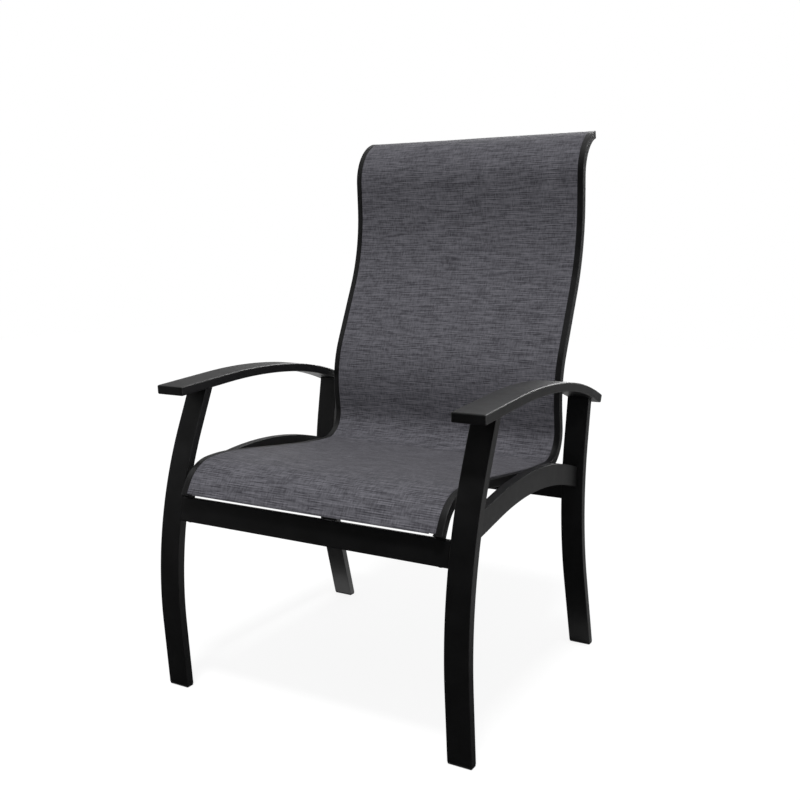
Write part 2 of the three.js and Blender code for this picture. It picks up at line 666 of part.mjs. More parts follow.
function railGeometry(side) {
  const front = bore(spacerReach + SCREW_GRIP + SEAT_GAP, point(side * RAIL_WIDTH / 2, spacerFoot), upright);
  const outwards = ACROSS.clone().multiplyScalar(side);
  const tab = bore(OVERRUN + SCREW_BITE + SEAT_GAP, point(-side * OVERRUN, tabScrewPlace), outwards);
  const through = spreaderPlaces.map((place) =>
    bore(RAIL_WIDTH + 2 * OVERRUN, point(-side * OVERRUN, place), outwards));
  return cut(sweep(railSection(side), railLine), front, tab, ...through);
}

// A cap: a plate over the rail's end and a stem in the rail's bore; `way` points out of the rail
function capGeometry(end, inner, way, side) {
  const across = ({ x, y }) => new THREE.Vector2(-side * x, y);
  const plate = rectangle(0, RAIL_WIDTH, -RAIL_DEPTH, 0, RAIL_EDGE).map(across);
  const out = (length) => moved(end, way * length, 0);
  const run = (...stations) => lineThrough(way > 0 ? stations : stations.reverse());
  const root = between(end, inner, CAP_STEM / Math.hypot(end.y - inner.y, end.z - inner.z));
  const stem = new THREE.Shape(railBore(SEAT_GAP).map(across));
  return join(
    sweep(new THREE.Shape(plate), run(out(SEAT_GAP), out(SEAT_GAP + CAP_THICKNESS))),
    sweep(stem, run(root, end, out(SEAT_GAP + CAP_THICKNESS / 2))));
}

// Spreader bars: tubes bowed away from the cloth, in a frame whose Y runs across the chair
const spreaderTilt = degToRad(SPREADER_ANGLE);
const spreaderEnd = { y: -railInner, z: 0, heading: -spreaderTilt };
const spreaderRadius = (railInner - SPREADER_PLUG * Math.cos(spreaderTilt)) / Math.sin(spreaderTilt);
const spreaderLine = new BendLine(moved(spreaderEnd, -SPREADER_DIAMETER, 0), [
  { straight: SPREADER_PLUG + SPREADER_DIAMETER },
  { radius: spreaderRadius, turn: 2 * SPREADER_ANGLE },
  { straight: SPREADER_PLUG + SPREADER_DIAMETER },
]);

function roundOf(diameter) {
  const turn = 2 * Math.PI / SPREADER_FACETS;
  return arc(0, 0, diameter / 2, turn / 2, 2 * Math.PI - turn / 2, SPREADER_FACETS - 1);
}

// What lies past the rails' inner faces, which trims the bars and their plugs
const pastRails = [-1, 1].map((side) => {
  const near = new THREE.Vector3(-OVERRUN, side * (railInner - SEAT_GAP), -OVERRUN);
  const far = new THREE.Vector3(OVERRUN, side * (railInner + OVERRUN), OVERRUN);
  return block(near.clone().min(far), near.clone().max(far));
});

function spreaderGeometry() {
  const section = sectionOf(roundOf(SPREADER_DIAMETER), roundOf(SPREADER_DIAMETER - 2 * SPREADER_WALL));
  return cut(sweep(section, spreaderLine), ...pastRails);
}

// A plug fills an end of a spreader bar, and the screw through the rail bites in it
function plugGeometry(side) {
  const end = { y: side * railInner, z: 0, heading: side * spreaderTilt };
  const [inner, outer] = [-side, side].map((way) => moved(end, way * SPREADER_PLUG, 0));
  const round = new THREE.Shape(roundOf(SPREADER_DIAMETER - 2 * SPREADER_WALL - 2 * SEAT_GAP));
  const bar = sweep(round, lineThrough(side > 0 ? [inner, outer] : [outer, inner]));
  const start = new THREE.Vector3(0, side * (railInner + SPREADER_PLUG), 0);
  const hole = bore(2 * SPREADER_PLUG + OVERRUN, start, new THREE.Vector3(0, -side, 0));
  return cut(bar, ...pastRails, hole);
}

function spreaderFrame(place) {
  const along = direction(place).negate();
  const out = new THREE.Vector3(0, -Math.sin(place.heading), Math.cos(place.heading));
  return new THREE.Matrix4().makeBasis(along, ACROSS, out).setPosition(point(0, place));
}

function spreaderScrew(side, place) {
  const start = point(side * (railOuter + SEAT_GAP), place);
  const length = RAIL_WIDTH + 2 * SEAT_GAP + SCREW_BITE;
  return screw(length, start, ACROSS.clone().multiplyScalar(-side));
}

// Assembly
for (const [name, side] of SIDES) {
  place(`front_leg_${name}`, legGeometry(frontLeg), POWDER_COAT, side * legCentre);
  place(`rear_leg_${name}`, legGeometry(rearLeg), POWDER_COAT, side * legCentre);
  place(`front_glide_${name}`, glideGeometry(frontLeg), BLACK_NYLON, side * legCentre);
  place(`rear_glide_${name}`, glideGeometry(rearLeg), BLACK_NYLON, side * legCentre);
  place(`armrest_${name}`, armGeometry(), POWDER_COAT, side * armCentre);
  place(`side_rail_${name}`, sideRailGeometry(), POWDER_COAT, side * legCentre);
  place(`sling_rail_${name}`, railGeometry(side), POWDER_COAT, side * railInner);
  const [footEnds, headEnds] = [railLine.stations.slice(0, 2), railLine.stations.slice(-2).reverse()];
  place(`rail_foot_cap_${name}`, capGeometry(...footEnds, -1, side), BLACK_NYLON, side * railInner);
  place(`rail_head_cap_${name}`, capGeometry(...headEnds, 1, side), BLACK_NYLON, side * railInner);
  place(`front_spacer_${name}`, spacerGeometry(), POWDER_COAT, side * railCentre);
  place(`rear_tab_${name}`, tabGeometry(side), POWDER_COAT);
  const hemRod = new THREE.Shape(arc(0, -GROOVE_DEPTH, HEM_ROD_DIAMETER / 2, 0,
    2 * Math.PI * (1 - 1 / HEM_FACETS), HEM_FACETS - 1));
  place(`hem_rod_${name}`, sweep(hemRod, clothLine), BLACK_NYLON,
    side * (railInner + GROOVE_INSET + GROOVE_BACKSET));
  place(`front_mount_screw_${name}`, frontScrew(side * railCentre), BLACK_STEEL);
  place(`rear_mount_screw_${name}`, tabScrew(side), BLACK_STEEL);
}
placeCrossRail('front_cross_rail', frontCross, SIDES.map(([, side]) => [side * railCentre, SPACER_SETBACK]));
placeCrossRail('rear_cross_rail', rearCross, []);
place('sling', sweep(clothSection(), clothLine), WOVEN_CLOTH);

['seat', 'back', 'head'].forEach((name, i) => {
  const spot = spreaderPlaces[i];
  const bar = place(`${name}_spreader`, spreaderGeometry(), POWDER_COAT);
  spreaderFrame(spot).decompose(bar.position, bar.quaternion, bar.scale);
  for (const [sideName, side] of SIDES) {
    const plug = place(`${name}_spreader_plug_${sideName}`, plugGeometry(side), BLACK_NYLON);
    spreaderFrame(spot).decompose(plug.position, plug.quaternion, plug.scale);
    place(`${name}_spreader_screw_${sideName}`, spreaderScrew(side, spot), BLACK_STEEL);
  }
});

// The origin lies on the floor, midway between the front and the back of the chair
const extent = new THREE.Box3().setFromObject(chair, true);
chair.position.y = -(extent.min.y + extent.max.y) / 2;

export default chair;
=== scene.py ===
"""A high-back sling patio chair of bent aluminium bars, with woven cloth stretched between its two rails.

Sizes are in metres and angles in degrees. X runs to the sitter's left, Y to the back and Z up.
"""

import math

import bmesh
import bpy
from bpy.props import FloatProperty, FloatVectorProperty, PointerProperty
from mathutils import Matrix, Vector, noise


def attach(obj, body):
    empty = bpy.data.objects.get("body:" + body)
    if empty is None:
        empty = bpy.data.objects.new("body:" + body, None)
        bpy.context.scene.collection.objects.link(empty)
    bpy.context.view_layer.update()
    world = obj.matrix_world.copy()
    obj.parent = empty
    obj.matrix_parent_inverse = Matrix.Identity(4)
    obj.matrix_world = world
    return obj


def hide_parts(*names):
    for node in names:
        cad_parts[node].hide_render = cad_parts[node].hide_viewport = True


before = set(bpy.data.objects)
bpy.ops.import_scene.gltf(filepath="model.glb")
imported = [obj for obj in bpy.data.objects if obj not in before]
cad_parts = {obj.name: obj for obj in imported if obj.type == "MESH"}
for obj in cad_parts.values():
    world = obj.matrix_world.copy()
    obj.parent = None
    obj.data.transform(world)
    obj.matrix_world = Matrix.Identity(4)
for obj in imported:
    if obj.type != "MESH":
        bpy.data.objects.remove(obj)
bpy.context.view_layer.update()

bl_info = {
    "name": "Sling Patio Chair",
    "version": (1, 0, 0),
    "blender": (4, 5, 0),
    "location": "3D View > Sidebar > Patio Chair",
    "description": "Dresses the packed sling patio chair with bent bars, woven cloth and a pale studio",
    "category": "Object",
}

SIDES = (("left", 1), ("right", -1))

# The bars are bent as on a bender's bench. A line starts at a spot of the side view, (y, z), with a heading.
# Each of its runs is a length and no turn, or a radius and the angle that it turns through. Left turns are
# positive.

# Legs: where the front face of a foot meets the floor, its heading there, and its runs up to the armrest
FRONT_FOOT = -0.345265
FOOT_SPACING = 0.6023
LEGS = {
    "front": (FRONT_FOOT, 95.26, ((0.1366, 0), (0.777, -29.02), (0.089, 0))),
    "rear": (FRONT_FOOT + FOOT_SPACING, 106.85, ((0.1687, 0), (0.688, -26.3), (0.0925, 0))),
}

# Armrests: the top face is a straight, a long crown and a tighter tail, each a share of the face's length
ARM_START = (-0.337054, 0.6047)
ARM_HEADING = 4.31
ARM_LENGTH = 0.592718
ARM_SHARES = ((0.245, 0), (0.386, -9.89), (0.369, -15.88))

# Arched side rails: the centre line, from the middle of the front leg to the middle of the rear leg
SIDE_RAIL_START = (-0.326752, 0.401646)
SIDE_RAIL_HEADING = 10.1
SIDE_RAIL_RUNS = ((0.115916, 0), (0.809964, -28.7506))

# Cross rails: the middle of the front face, and the heading of the legs' faces there
CROSS_RAILS = {"front": ((-0.343878, 0.36835), 78.0299), "rear": ((0.178973, 0.36835), 89.3783)}

# Sling: its face line from the rails' lower ends, over the seat and up the back
SLING_START = (-0.353228, 0.400961)
SLING_HEADING = 61.2
SLING_RUNS = {
    "foot": (0.022, 0),
    "knee": (0.0796, -56.2),
    "thigh": (0.417, -11.4),
    "seat": (0.191533, 0),
    "dip": (1.358, 5.8),
    "hip": (0.0541, 98.0),
    "loin": (0.0402, 0),
    "lumbar": (0.2267, -31.7),
    "back": (0.1366, 0),
    "shoulder": (0.3904, 27.9),
    "head": (0.0529, 0),
    "head roll": (0.0972, -77.1),
}
CLOTH_SETBACK = 0.0016  # from the rails' lower ends to the cloth's front edge
CLOTH_GAP = 0.0003  # between the cloth and the groove's mouth

# Groove of a sling rail: how deep the inner and the outer side of its mouth run, and the corners of the hole
# behind them, outwards from the middle of the mouth and up from the rail's face
MOUTH_DEPTHS = (0.003, 0.0022)
GROOVE_HOLE = (
    (-0.0016, -0.0055), (-0.0009, -0.0086), (0.0038, -0.0094), (0.006, -0.0066), (0.0046, -0.0028),
)

# Caps on the ends of a sling rail
CAP_THICKNESS = 0.002
CAP_EDGE = 0.0005
FOOT_CAP_GAP = 0.0002
HEAD_CAP_GAP = 0.0001

# Long edges of the cloth: down into the groove's mouth, along its neck and round the hem rod
MOUTH_RADIUS = 0.001
NECK_LENGTH = 0.0024
HEM_RADIUS = 0.0021
HEM_TURN = 300.0
HEM_DEPTH = MOUTH_RADIUS + NECK_LENGTH
HEM_ROD_RADIUS = 0.0017
HEM_ROD_FACETS = 12

# Short edges of the cloth, which are turned under and stitched
FOLD_GAP = 0.0001  # left open inside the fold
FOLD_SETBACK = 0.001  # from a rail's inner side to the end of the turned hem
STITCH_SHARE = 0.8  # of the hem's width, from the fold to the row of stitches

# Mesh of the cloth: how finely it is divided, and how high and how close the stretched cloth's waves are
FACE_COLUMNS = 64
EDGE_COLUMNS = 26
EDGE_MARGIN = 0.0045  # from where the columns draw together to the neck of the groove
FACE_ROWS = 300
HEM_ROWS = 12
RIPPLE_HEIGHT = 0.0007
RIPPLES_ACROSS = 7.0
RIPPLES_ALONG = 16.0
RIPPLE_SEED = 0.3

# Spreader bars: the run of the sling's face line that each lies under, and at what share of the run
SPREADERS = {"seat": ("dip", 0.0), "back": ("back", 0.5), "head": ("head", 0.5)}
SPREADER_DEPTH = 0.01295  # from the cloth's face to the middle of the bar's ends
SPREADER_RADIUS = 0.008
SPREADER_FACETS = 32
SPREADER_END = 0.014  # straight length at each end
SPREADER_TILT = 7.0  # by which each end leans, so that the middle keeps away from the cloth

# Button-head screws: radius and height of the corners from the tip up to the socket's floor
SCREW_PROFILE = (
    (0.0, -0.004), (0.0019, -0.004), (0.0019, -0.0005), (0.0042, 0.0), (0.0039, 0.0006), (0.0029, 0.0011),
    (0.0014, 0.0013), (0.0014, 0.0003), (0.0, 0.0003),
)
SCREW_SINK = 0.001  # by which the head is let into the rail's outer side
SCREW_FACETS = 24

GLIDE_GAP = 0.0002  # between a glide and its leg
SOLE_SHARE = 0.9  # of the glide's edge radius, on the edge of its sole

# How bends are divided and edges are told apart
CHORD_SAG = 0.000025  # how far a bend's chord may lie inside its arc
FEWEST_CHORDS = 6
CORNER_ANGLE = 50.0  # past which two faces meet at a corner
TOUCHING = 1e-6

# The finish on each material slot of the chair
FINISHES = {
    "powder_coat": "Black powder coat",
    "sling_cloth": "Heathered woven cloth",
    "black_nylon": "Black moulded nylon",
    "black_steel": "Black steel",
}
FITTINGS = {
    "powder_coat": ("front_spacer", "rear_tab"),
    "black_steel": ("front_mount_screw", "rear_mount_screw"),
}
NYLON_COLOURS = ((0.006, 0.006, 0.0065, 1.0), (0.010, 0.010, 0.011, 1.0))
STEEL_COLOURS = ((0.018, 0.018, 0.020, 1.0), (0.035, 0.035, 0.038, 1.0))

# Look of the woven cloth
CROSSWISE_SLUB = 0.045  # length of the thick places in the yarns
LENGTHWISE_SLUB = 0.014
SLUB_YARNS = 3  # lengthwise yarns that share their thick places
SLUB_JUMP = 7.31  # keeps the noise of neighbouring yarns apart
LENGTHWISE_SHARE = 0.32  # of the lengthwise yarns' streaks in the cloth's tone
ON_TOP_SHARE = 0.15  # of the yarn that lies on top
YARN_CONTRAST = 0.4  # between one yarn and the next

# Stage: the camera, the lamps and what they point at, and the floor's greys
CAMERA_SPOT = (0.97715, -1.71005, 0.86168)
CAMERA_DIP = 8.7957
FIELD_OF_VIEW = 45.0
SENSOR_WIDTH = 36.0  # in millimetres
LAMP_AIM = (0.0, 0.0, 0.5)
KEY_SPOT = (0.28, -0.76, 3.3)
KEY_SPREAD = 7.6
BACK_SPOT = (-0.3, 5.3, 4.0)
BACK_SIZE = 4.4
FRONT_SPOT = (0.6, -3.2, 1.4)
FRONT_SIZE = 2.2
FLOOR_BOUNCE = 0.35  # as the floor lights the chair from below
FLOOR_GLOW = 0.867  # as the floor is seen, whether in shadow or not
FLOOR_SHADE = 0.17  # on top of that, which a shadow takes away

# Cards that only gloss sees, which set the tones of the bars: middle, lean and turn, width and height, grey
CARDS = {
    "front_card": ((-0.2, -0.92, 1.5), (78.0, 0.0), (3.6, 3.05), 0.022),
    "ceiling_card": ((-0.3, 0.1, 3.0), (0.0, 0.0), (3.6, 1.9), 0.02),
    "roof_card": ((-0.2, 0.9, 1.8), (65.0, 12.0), (1.6, 0.9), 0.04),
    "left_rear_card": ((-2.6, 1.62, 1.3), (90.0, 51.7), (2.6, 2.8), 0.27),
    "side_card": ((1.3, 1.3, 1.1), (90.0, -30.0), (1.8, 2.2), 0.33),
    "floor_card": ((-0.5, -0.55, 0.003), (0.0, 0.0), (3.2, 1.5), 0.02),
    "rear_floor_card": ((0.95, 1.1, 0.003), (0.0, 0.0), (1.9, 1.8), 0.33),
}


class ChairFrameSizes(bpy.types.PropertyGroup):
    leg_width: FloatProperty(
        name="Leg width", description="Width of a leg bar", default=0.0467, unit="LENGTH",
    )
    bar_thickness: FloatProperty(
        name="Bar thickness", description="Thickness of the leg, side and cross bars", default=0.0178,
        unit="LENGTH",
    )
    bar_edge: FloatProperty(
        name="Bar edge", description="Radius on a bar's long edges", default=0.0015, unit="LENGTH",
    )
    leg_centre: FloatProperty(
        name="Leg place", description="From the chair's middle to a leg's middle", default=0.3126,
        unit="LENGTH",
    )
    side_rail_height: FloatProperty(
        name="Side rail height", description="Height of an arched side rail's bar", default=0.042,
        unit="LENGTH",
    )
    cross_rail_height: FloatProperty(
        name="Cross rail height", description="Height of a cross rail's bar", default=0.0463, unit="LENGTH",
    )
    arm_width: FloatProperty(
        name="Arm width", description="Width of an armrest", default=0.0635, unit="LENGTH",
    )
    arm_thickness: FloatProperty(
        name="Arm thickness", description="Thickness of an armrest", default=0.018, unit="LENGTH",
    )
    arm_edge: FloatProperty(
        name="Arm edge", description="Radius on an armrest's edges", default=0.0031, unit="LENGTH",
    )
    arm_centre: FloatProperty(
        name="Arm place", description="From the chair's middle to an armrest's middle", default=0.3175,
        unit="LENGTH",
    )
    glide_height: FloatProperty(
        name="Glide height", description="Height of the glide under a leg", default=0.005, unit="LENGTH",
    )
    glide_edge: FloatProperty(
        name="Glide edge", description="Radius on a glide's edges", default=0.003, unit="LENGTH",
    )
    coat_colour: FloatVectorProperty(
        name="Coat colour", description="Powder coat on the bars", default=(0.0022, 0.0022, 0.0025),
        min=0.0, max=1.0, subtype="COLOR",
    )
    coat_grain: FloatProperty(
        name="Coat grain", description="Size of the powder coat's grain", default=0.0009, precision=5,
        unit="LENGTH",
    )


class ChairSlingSizes(bpy.types.PropertyGroup):
    rail_inner: FloatProperty(
        name="Rail place", description="From the chair's middle to a sling rail", default=0.26345,
        unit="LENGTH",
    )
    rail_width: FloatProperty(
        name="Rail width", description="Width of a sling rail", default=0.0178, unit="LENGTH",
    )
    rail_depth: FloatProperty(
        name="Rail depth", description="Depth of a sling rail", default=0.0165, unit="LENGTH",
    )
    rail_edge: FloatProperty(
        name="Rail edge", description="Radius on a sling rail's long edges", default=0.0013, precision=5,
        unit="LENGTH",
    )
    lip_edge: FloatProperty(
        name="Groove lip", description="Radius on the lip of a rail's groove", default=0.0005, precision=5,
        unit="LENGTH",
    )
    groove_inset: FloatProperty(
        name="Groove inset", description="From a rail's inner side to its groove", default=0.00405,
        precision=5, unit="LENGTH",
    )
    cloth_thickness: FloatProperty(
        name="Cloth thickness", description="Thickness of the woven cloth", default=0.0012, precision=5,
        unit="LENGTH",
    )
    hem_width: FloatProperty(
        name="Hem width", description="Cloth folded under at the front and the top", default=0.02,
        unit="LENGTH",
    )
    cross_yarn: FloatProperty(
        name="Crosswise yarns", description="Distance between two yarns that run across the chair",
        default=0.0021, precision=5, unit="LENGTH",
    )
    long_yarn: FloatProperty(
        name="Lengthwise yarns", description="Distance between two yarns that run along the cloth",
        default=0.0009, precision=5, unit="LENGTH",
    )
    dark_yarn: FloatVectorProperty(
        name="Dark yarn", description="Colour of the darkest yarns", default=(0.044, 0.043, 0.051),
        min=0.0, max=1.0, subtype="COLOR",
    )
    light_yarn: FloatVectorProperty(
        name="Light yarn", description="Colour of the lightest yarns", default=(0.163, 0.160, 0.181),
        min=0.0, max=1.0, subtype="COLOR",
    )


class ChairStageSizes(bpy.types.PropertyGroup):
    sky_light: FloatProperty(
        name="Sky light", description="Light from all round", default=0.53, min=0.0,
    )
    key_light: FloatProperty(
        name="Key light", description="Strength of the light from over and ahead of the chair", default=1.54,
        min=0.0,
    )
    back_power: FloatProperty(
        name="Back light", description="Power of the soft light behind the chair, which only gloss shows",
        default=480.0, unit="POWER",
    )
    front_power: FloatProperty(
        name="Front light", description="Power of the soft light ahead of the chair", default=21.0,
        unit="POWER",
    )
    floor_size: FloatProperty(
        name="Floor size", description="Side of the pale floor", default=14.0, unit="LENGTH",
    )
    view_turn: FloatProperty(
        name="View turn", description="How far the camera stands round to the sitter's left",
        default=math.radians(29.738), subtype="ANGLE",
    )


# Lines and bars


def turned(angle, axis):
    return Matrix.Rotation(math.radians(angle), 4, axis)


def place_of(spot, heading, x=0.0):
    """A place on a line: its second axis runs along the line, its third stands off the line's left side."""
    return Matrix.Translation((x, *spot)) @ turned(heading, "X")


def crosswise(place):
    """A place turned so that its second axis runs across the chair, to the sitter's left."""
    return place @ turned(-90.0, "Z")


def after(place, size, turn, share=1.0):
    """The place at a share of a run that begins at a place."""
    if not turn:
        return place @ Matrix.Translation((0.0, size * share, 0.0))
    centre = Matrix.Translation((0.0, 0.0, math.copysign(size, turn)))
    return place @ centre @ turned(turn * share, "X") @ centre.inverted()


def length_of(runs):
    return sum(size * (abs(math.radians(turn)) if turn else 1.0) for size, turn in runs)


def locate(place, runs, distance):
    """The place at a distance along the runs that begin at a place."""
    for size, turn in runs:
        length = length_of([(size, turn)])
        if distance <= length:
            break
        place = after(place, size, turn)
        distance -= length
    return after(place, size, turn, distance / length)


def arm_runs():
    """The runs of the armrest's top face, from the shares of its length."""
    lengths = [(share * ARM_LENGTH, turn) for share, turn in ARM_SHARES]
    return [(length / abs(math.radians(turn)) if turn else length, turn) for length, turn in lengths]


def block_outline(left, right, bottom, top):
    return [(left, bottom), (right, bottom), (right, top), (left, top)]


def ring_outline(radius, count):
    turns = [2.0 * math.pi * i / count for i in range(count)]
    return [(radius * math.cos(turn), radius * math.sin(turn)) for turn in turns]


def bend_bar(place, runs, outline):
    """Pulls a section through the runs of a bent line; returns the mesh and its two end faces."""
    bm = bmesh.new()
    start = end = bm.faces.new([bm.verts.new(place @ Vector((across, 0.0, off))) for across, off in outline])
    for size, turn in runs:
        region = [end, *end.edges, *end.verts]
        if turn:
            centre = place @ Vector((0.0, 0.0, math.copysign(size, turn)))
            angle = math.radians(turn)
            steps = max(FEWEST_CHORDS, math.ceil(abs(angle) * math.sqrt(size / (8 * CHORD_SAG))))
            made = bmesh.ops.spin(
                bm, geom=region, cent=centre, axis=(1.0, 0.0, 0.0), angle=angle, steps=steps,
                use_merge=False, use_duplicate=False,
            )["geom_last"]
        else:
            made = bmesh.ops.extrude_face_region(bm, geom=region)["geom"]
            verts = [part for part in made if isinstance(part, bmesh.types.BMVert)]
            bmesh.ops.translate(bm, verts=verts, vec=place.to_3x3() @ Vector((0.0, size, 0.0)))
        end = next(part for part in made if isinstance(part, bmesh.types.BMFace))
        place = after(place, size, turn)
    bmesh.ops.recalc_face_normals(bm, faces=bm.faces)
    return bm, [start, end]


def corners(bm, without=()):
    """Edges where two faces meet at a corner, apart from those of some faces."""
    left_out = {edge for face in without for edge in face.edges}
    sharpest = math.radians(CORNER_ANGLE)
    return [edge for edge in bm.edges if edge not in left_out and edge.calc_face_angle(0.0) > sharpest]


def round_off(bm, edges, radius, segments=4):
    bmesh.ops.bevel(
        bm, geom=edges, offset=radius, segments=segments, profile=0.5, affect="EDGES", material=-1,
        clamp_overlap=True,
    )


def trim(bm, height, way):
    """Cuts off what lies above a height, or below it if the way is down, and closes the cut."""
    cut = bmesh.ops.bisect_plane(
        bm, geom=[*bm.verts, *bm.edges, *bm.faces], dist=TOUCHING, plane_co=(0.0, 0.0, height),
        plane_no=(0.0, 0.0, way), clear_outer=True,
    )["geom_cut"]
    bmesh.ops.holes_fill(bm, edges=[part for part in cut if isinstance(part, bmesh.types.BMEdge)])


def mesh_of(bm, name):
    mesh = bpy.data.meshes.new(name)
    bm.to_mesh(mesh)
    bm.free()
    return mesh


def finish_piece(bm, name, finish, stands_for=(), sharp=28.0):
    """Turns a mesh into a piece that rides on the chair and stands for its solids in the frame."""
    stands_for = stands_for or [name]
    name = f"{name}_made"
    bmesh.ops.recalc_face_normals(bm, faces=bm.faces)
    mesh = mesh_of(bm, name)
    mesh.shade_smooth()
    mesh.set_sharp_from_angle(angle=math.radians(sharp))
    mesh.materials.append(bpy.data.materials[FINISHES[finish]])
    piece = bpy.data.objects.new(name, mesh)
    bpy.context.scene.collection.objects.link(piece)
    weights = piece.modifiers.new("Flat faces stay flat", "WEIGHTED_NORMAL")
    weights.keep_sharp = True
    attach(piece, "root")
    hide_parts(*stands_for)
    return piece


# The sling's own lines


def sling_place(x=0.0):
    return place_of(SLING_START, SLING_HEADING, x)


def cloth_start():
    return after(sling_place(), CLOTH_SETBACK, 0)


def cloth_runs():
    """The sling's face line from the cloth's front edge to its top edge."""
    (foot, _), *others = SLING_RUNS.values()
    return [(foot - CLOTH_SETBACK, 0), *others]


def cloth_length():
    return length_of(cloth_runs())


def fold_radius(sizes):
    return sizes.cloth_thickness + FOLD_GAP


def neck_place(sizes):
    """How far from the chair's middle the cloth's face runs down into a groove."""
    return sizes.rail_inner + sizes.groove_inset + sizes.cloth_thickness / 2


def width_runs(sizes):
    """The line of the cloth's face from the chair's middle to its edge round the hem rod."""
    flat = neck_place(sizes) - MOUTH_RADIUS
    return ((flat, 0), (MOUTH_RADIUS, -90.0), (NECK_LENGTH, 0), (HEM_RADIUS, HEM_TURN))


# Node trees


def put(tree, kind, *sources, **settings):
    """Adds a node with its settings and feeds its inputs, in order, with sockets or values."""
    node = tree.nodes.new(kind)
    for key, value in settings.items():
        setattr(node, key, value)
    for socket, source in zip(node.inputs, sources):
        feed(tree, socket, source)
    return node


def feed(tree, socket, source):
    if isinstance(source, bpy.types.NodeSocket):
        tree.links.new(source, socket)
    elif source is not None:
        socket.default_value = source


def reckon(tree, operation, *values):
    return put(tree, "ShaderNodeMath", *values, operation=operation).outputs[0]


def mix(tree, share, first, second):
    """A value between two."""
    return put(tree, "ShaderNodeMix", share, None, first, second).outputs[0]


def blend(tree, share, first, second):
    """A colour between two."""
    node = tree.nodes.new("ShaderNodeMix")
    node.data_type = "RGBA"
    for socket, source in zip((node.inputs[0], node.inputs[6], node.inputs[7]), (share, first, second)):
        feed(tree, socket, source)
    return node.outputs[2]


def spread(tree, value, low, high, new_low=0.0, new_high=1.0):
    """A value moved from one range to another and held inside it."""
    return put(tree, "ShaderNodeMapRange", value, low, high, new_low, new_high).outputs[0]


def cloud(tree, vector, scale, detail, dimensions="3D"):
    """Soft noise."""
    node = put(tree, "ShaderNodeTexNoise", vector, None, scale, detail, noise_dimensions=dimensions)
    return node.outputs[0]


def split_up(tree, vector):
    return put(tree, "ShaderNodeSeparateXYZ", vector).outputs


def new_group(name, inputs, outputs):
    """An empty shader node group with named inputs, each a vector or a number, and outputs."""
    group = bpy.data.node_groups.new(name, "ShaderNodeTree")
    for label, default in inputs.items():
        kind = "NodeSocketFloat" if isinstance(default, float) else "NodeSocketVector"
        socket = group.interface.new_socket(label, in_out="INPUT", socket_type=kind)
        if default is not None:
            socket.default_value = default
    for label in outputs:
        group.interface.new_socket(label, in_out="OUTPUT", socket_type="NodeSocketFloat")
    return group, group.nodes.new("NodeGroupInput").outputs, group.nodes.new("NodeGroupOutput").inputs


def grain_group():
    """Fine pimples of a coat or a moulded face, and broad uneven patches."""
    group, given, out = new_group("Fine grain", {"Vector": None, "Size": 0.001}, ("Height", "Patches"))
    scale = reckon(group, "DIVIDE", 1.0, given["Size"])
    bumps = put(group, "ShaderNodeTexVoronoi", given["Vector"], None, scale, feature="SMOOTH_F1")
    bumps.inputs["Smoothness"].default_value = 0.6
    peel = cloud(group, given["Vector"], scale=reckon(group, "MULTIPLY", scale, 0.45), detail=2.0)
    height = reckon(group, "ADD", reckon(group, "MULTIPLY", bumps.outputs[0], 0.5), peel)
    group.links.new(height, out["Height"])
    broad = cloud(group, given["Vector"], scale=26.0, detail=3.0)
    group.links.new(spread(group, broad, 0.35, 0.65), out["Patches"])
    return group


def weave_group():
    """Plain weave: crosswise and lengthwise yarns that pass over and under each other."""
    inputs = {"Vector": None, "Spacing": (0.001, 0.001, 1.0)}
    group, given, out = new_group("Plain weave", inputs, ("Height", "Crosswise", "Yarn"))
    spacing = given["Spacing"]
    cells = put(group, "ShaderNodeVectorMath", given["Vector"], spacing, operation="DIVIDE").outputs[0]
    parts = split_up(group, cells)
    waves = [reckon(group, "SINE", reckon(group, "MULTIPLY", parts[i], math.pi)) for i in (0, 1)]
    over = reckon(group, "MULTIPLY", *waves)
    lift = [spread(group, over, -1.0, 1.0, 1.0, 0.25), spread(group, over, -1.0, 1.0, 0.25, 1.0)]
    lengthwise, crosswise_yarns = (
        reckon(group, "MULTIPLY", reckon(group, "ABSOLUTE", wave), rise) for wave, rise in zip(waves, lift)
    )
    group.links.new(reckon(group, "MAXIMUM", lengthwise, crosswise_yarns), out["Height"])
    group.links.new(reckon(group, "GREATER_THAN", crosswise_yarns, lengthwise), out["Crosswise"])
    rows = put(group, "ShaderNodeVectorMath", cells, operation="FLOOR").outputs[0]
    speckle = put(group, "ShaderNodeTexWhiteNoise", rows, noise_dimensions="2D").outputs[0]
    every_other = reckon(group, "PINGPONG", split_up(group, rows)[1], 1.0)
    group.links.new(mix(group, 0.6, speckle, every_other), out["Yarn"])
    return group


def streak_group():
    """Thick and thin places along each yarn of a set of straight yarns."""
    inputs = {"Vector": None, "Length": 0.02, "Pitch": 0.002}
    group, given, out = new_group("Slub streaks", inputs, ("Streak",))
    parts = split_up(group, given["Vector"])
    along = reckon(group, "DIVIDE", parts[0], given["Length"])
    row = reckon(group, "FLOOR", reckon(group, "DIVIDE", parts[1], given["Pitch"]))
    spot = put(group, "ShaderNodeCombineXYZ", along, reckon(group, "MULTIPLY", row, SLUB_JUMP)).outputs[0]
    streaks = cloud(group, spot, scale=1.0, detail=2.0, dimensions="2D")
    group.links.new(spread(group, streaks, 0.3, 0.7), out["Streak"])
    return group


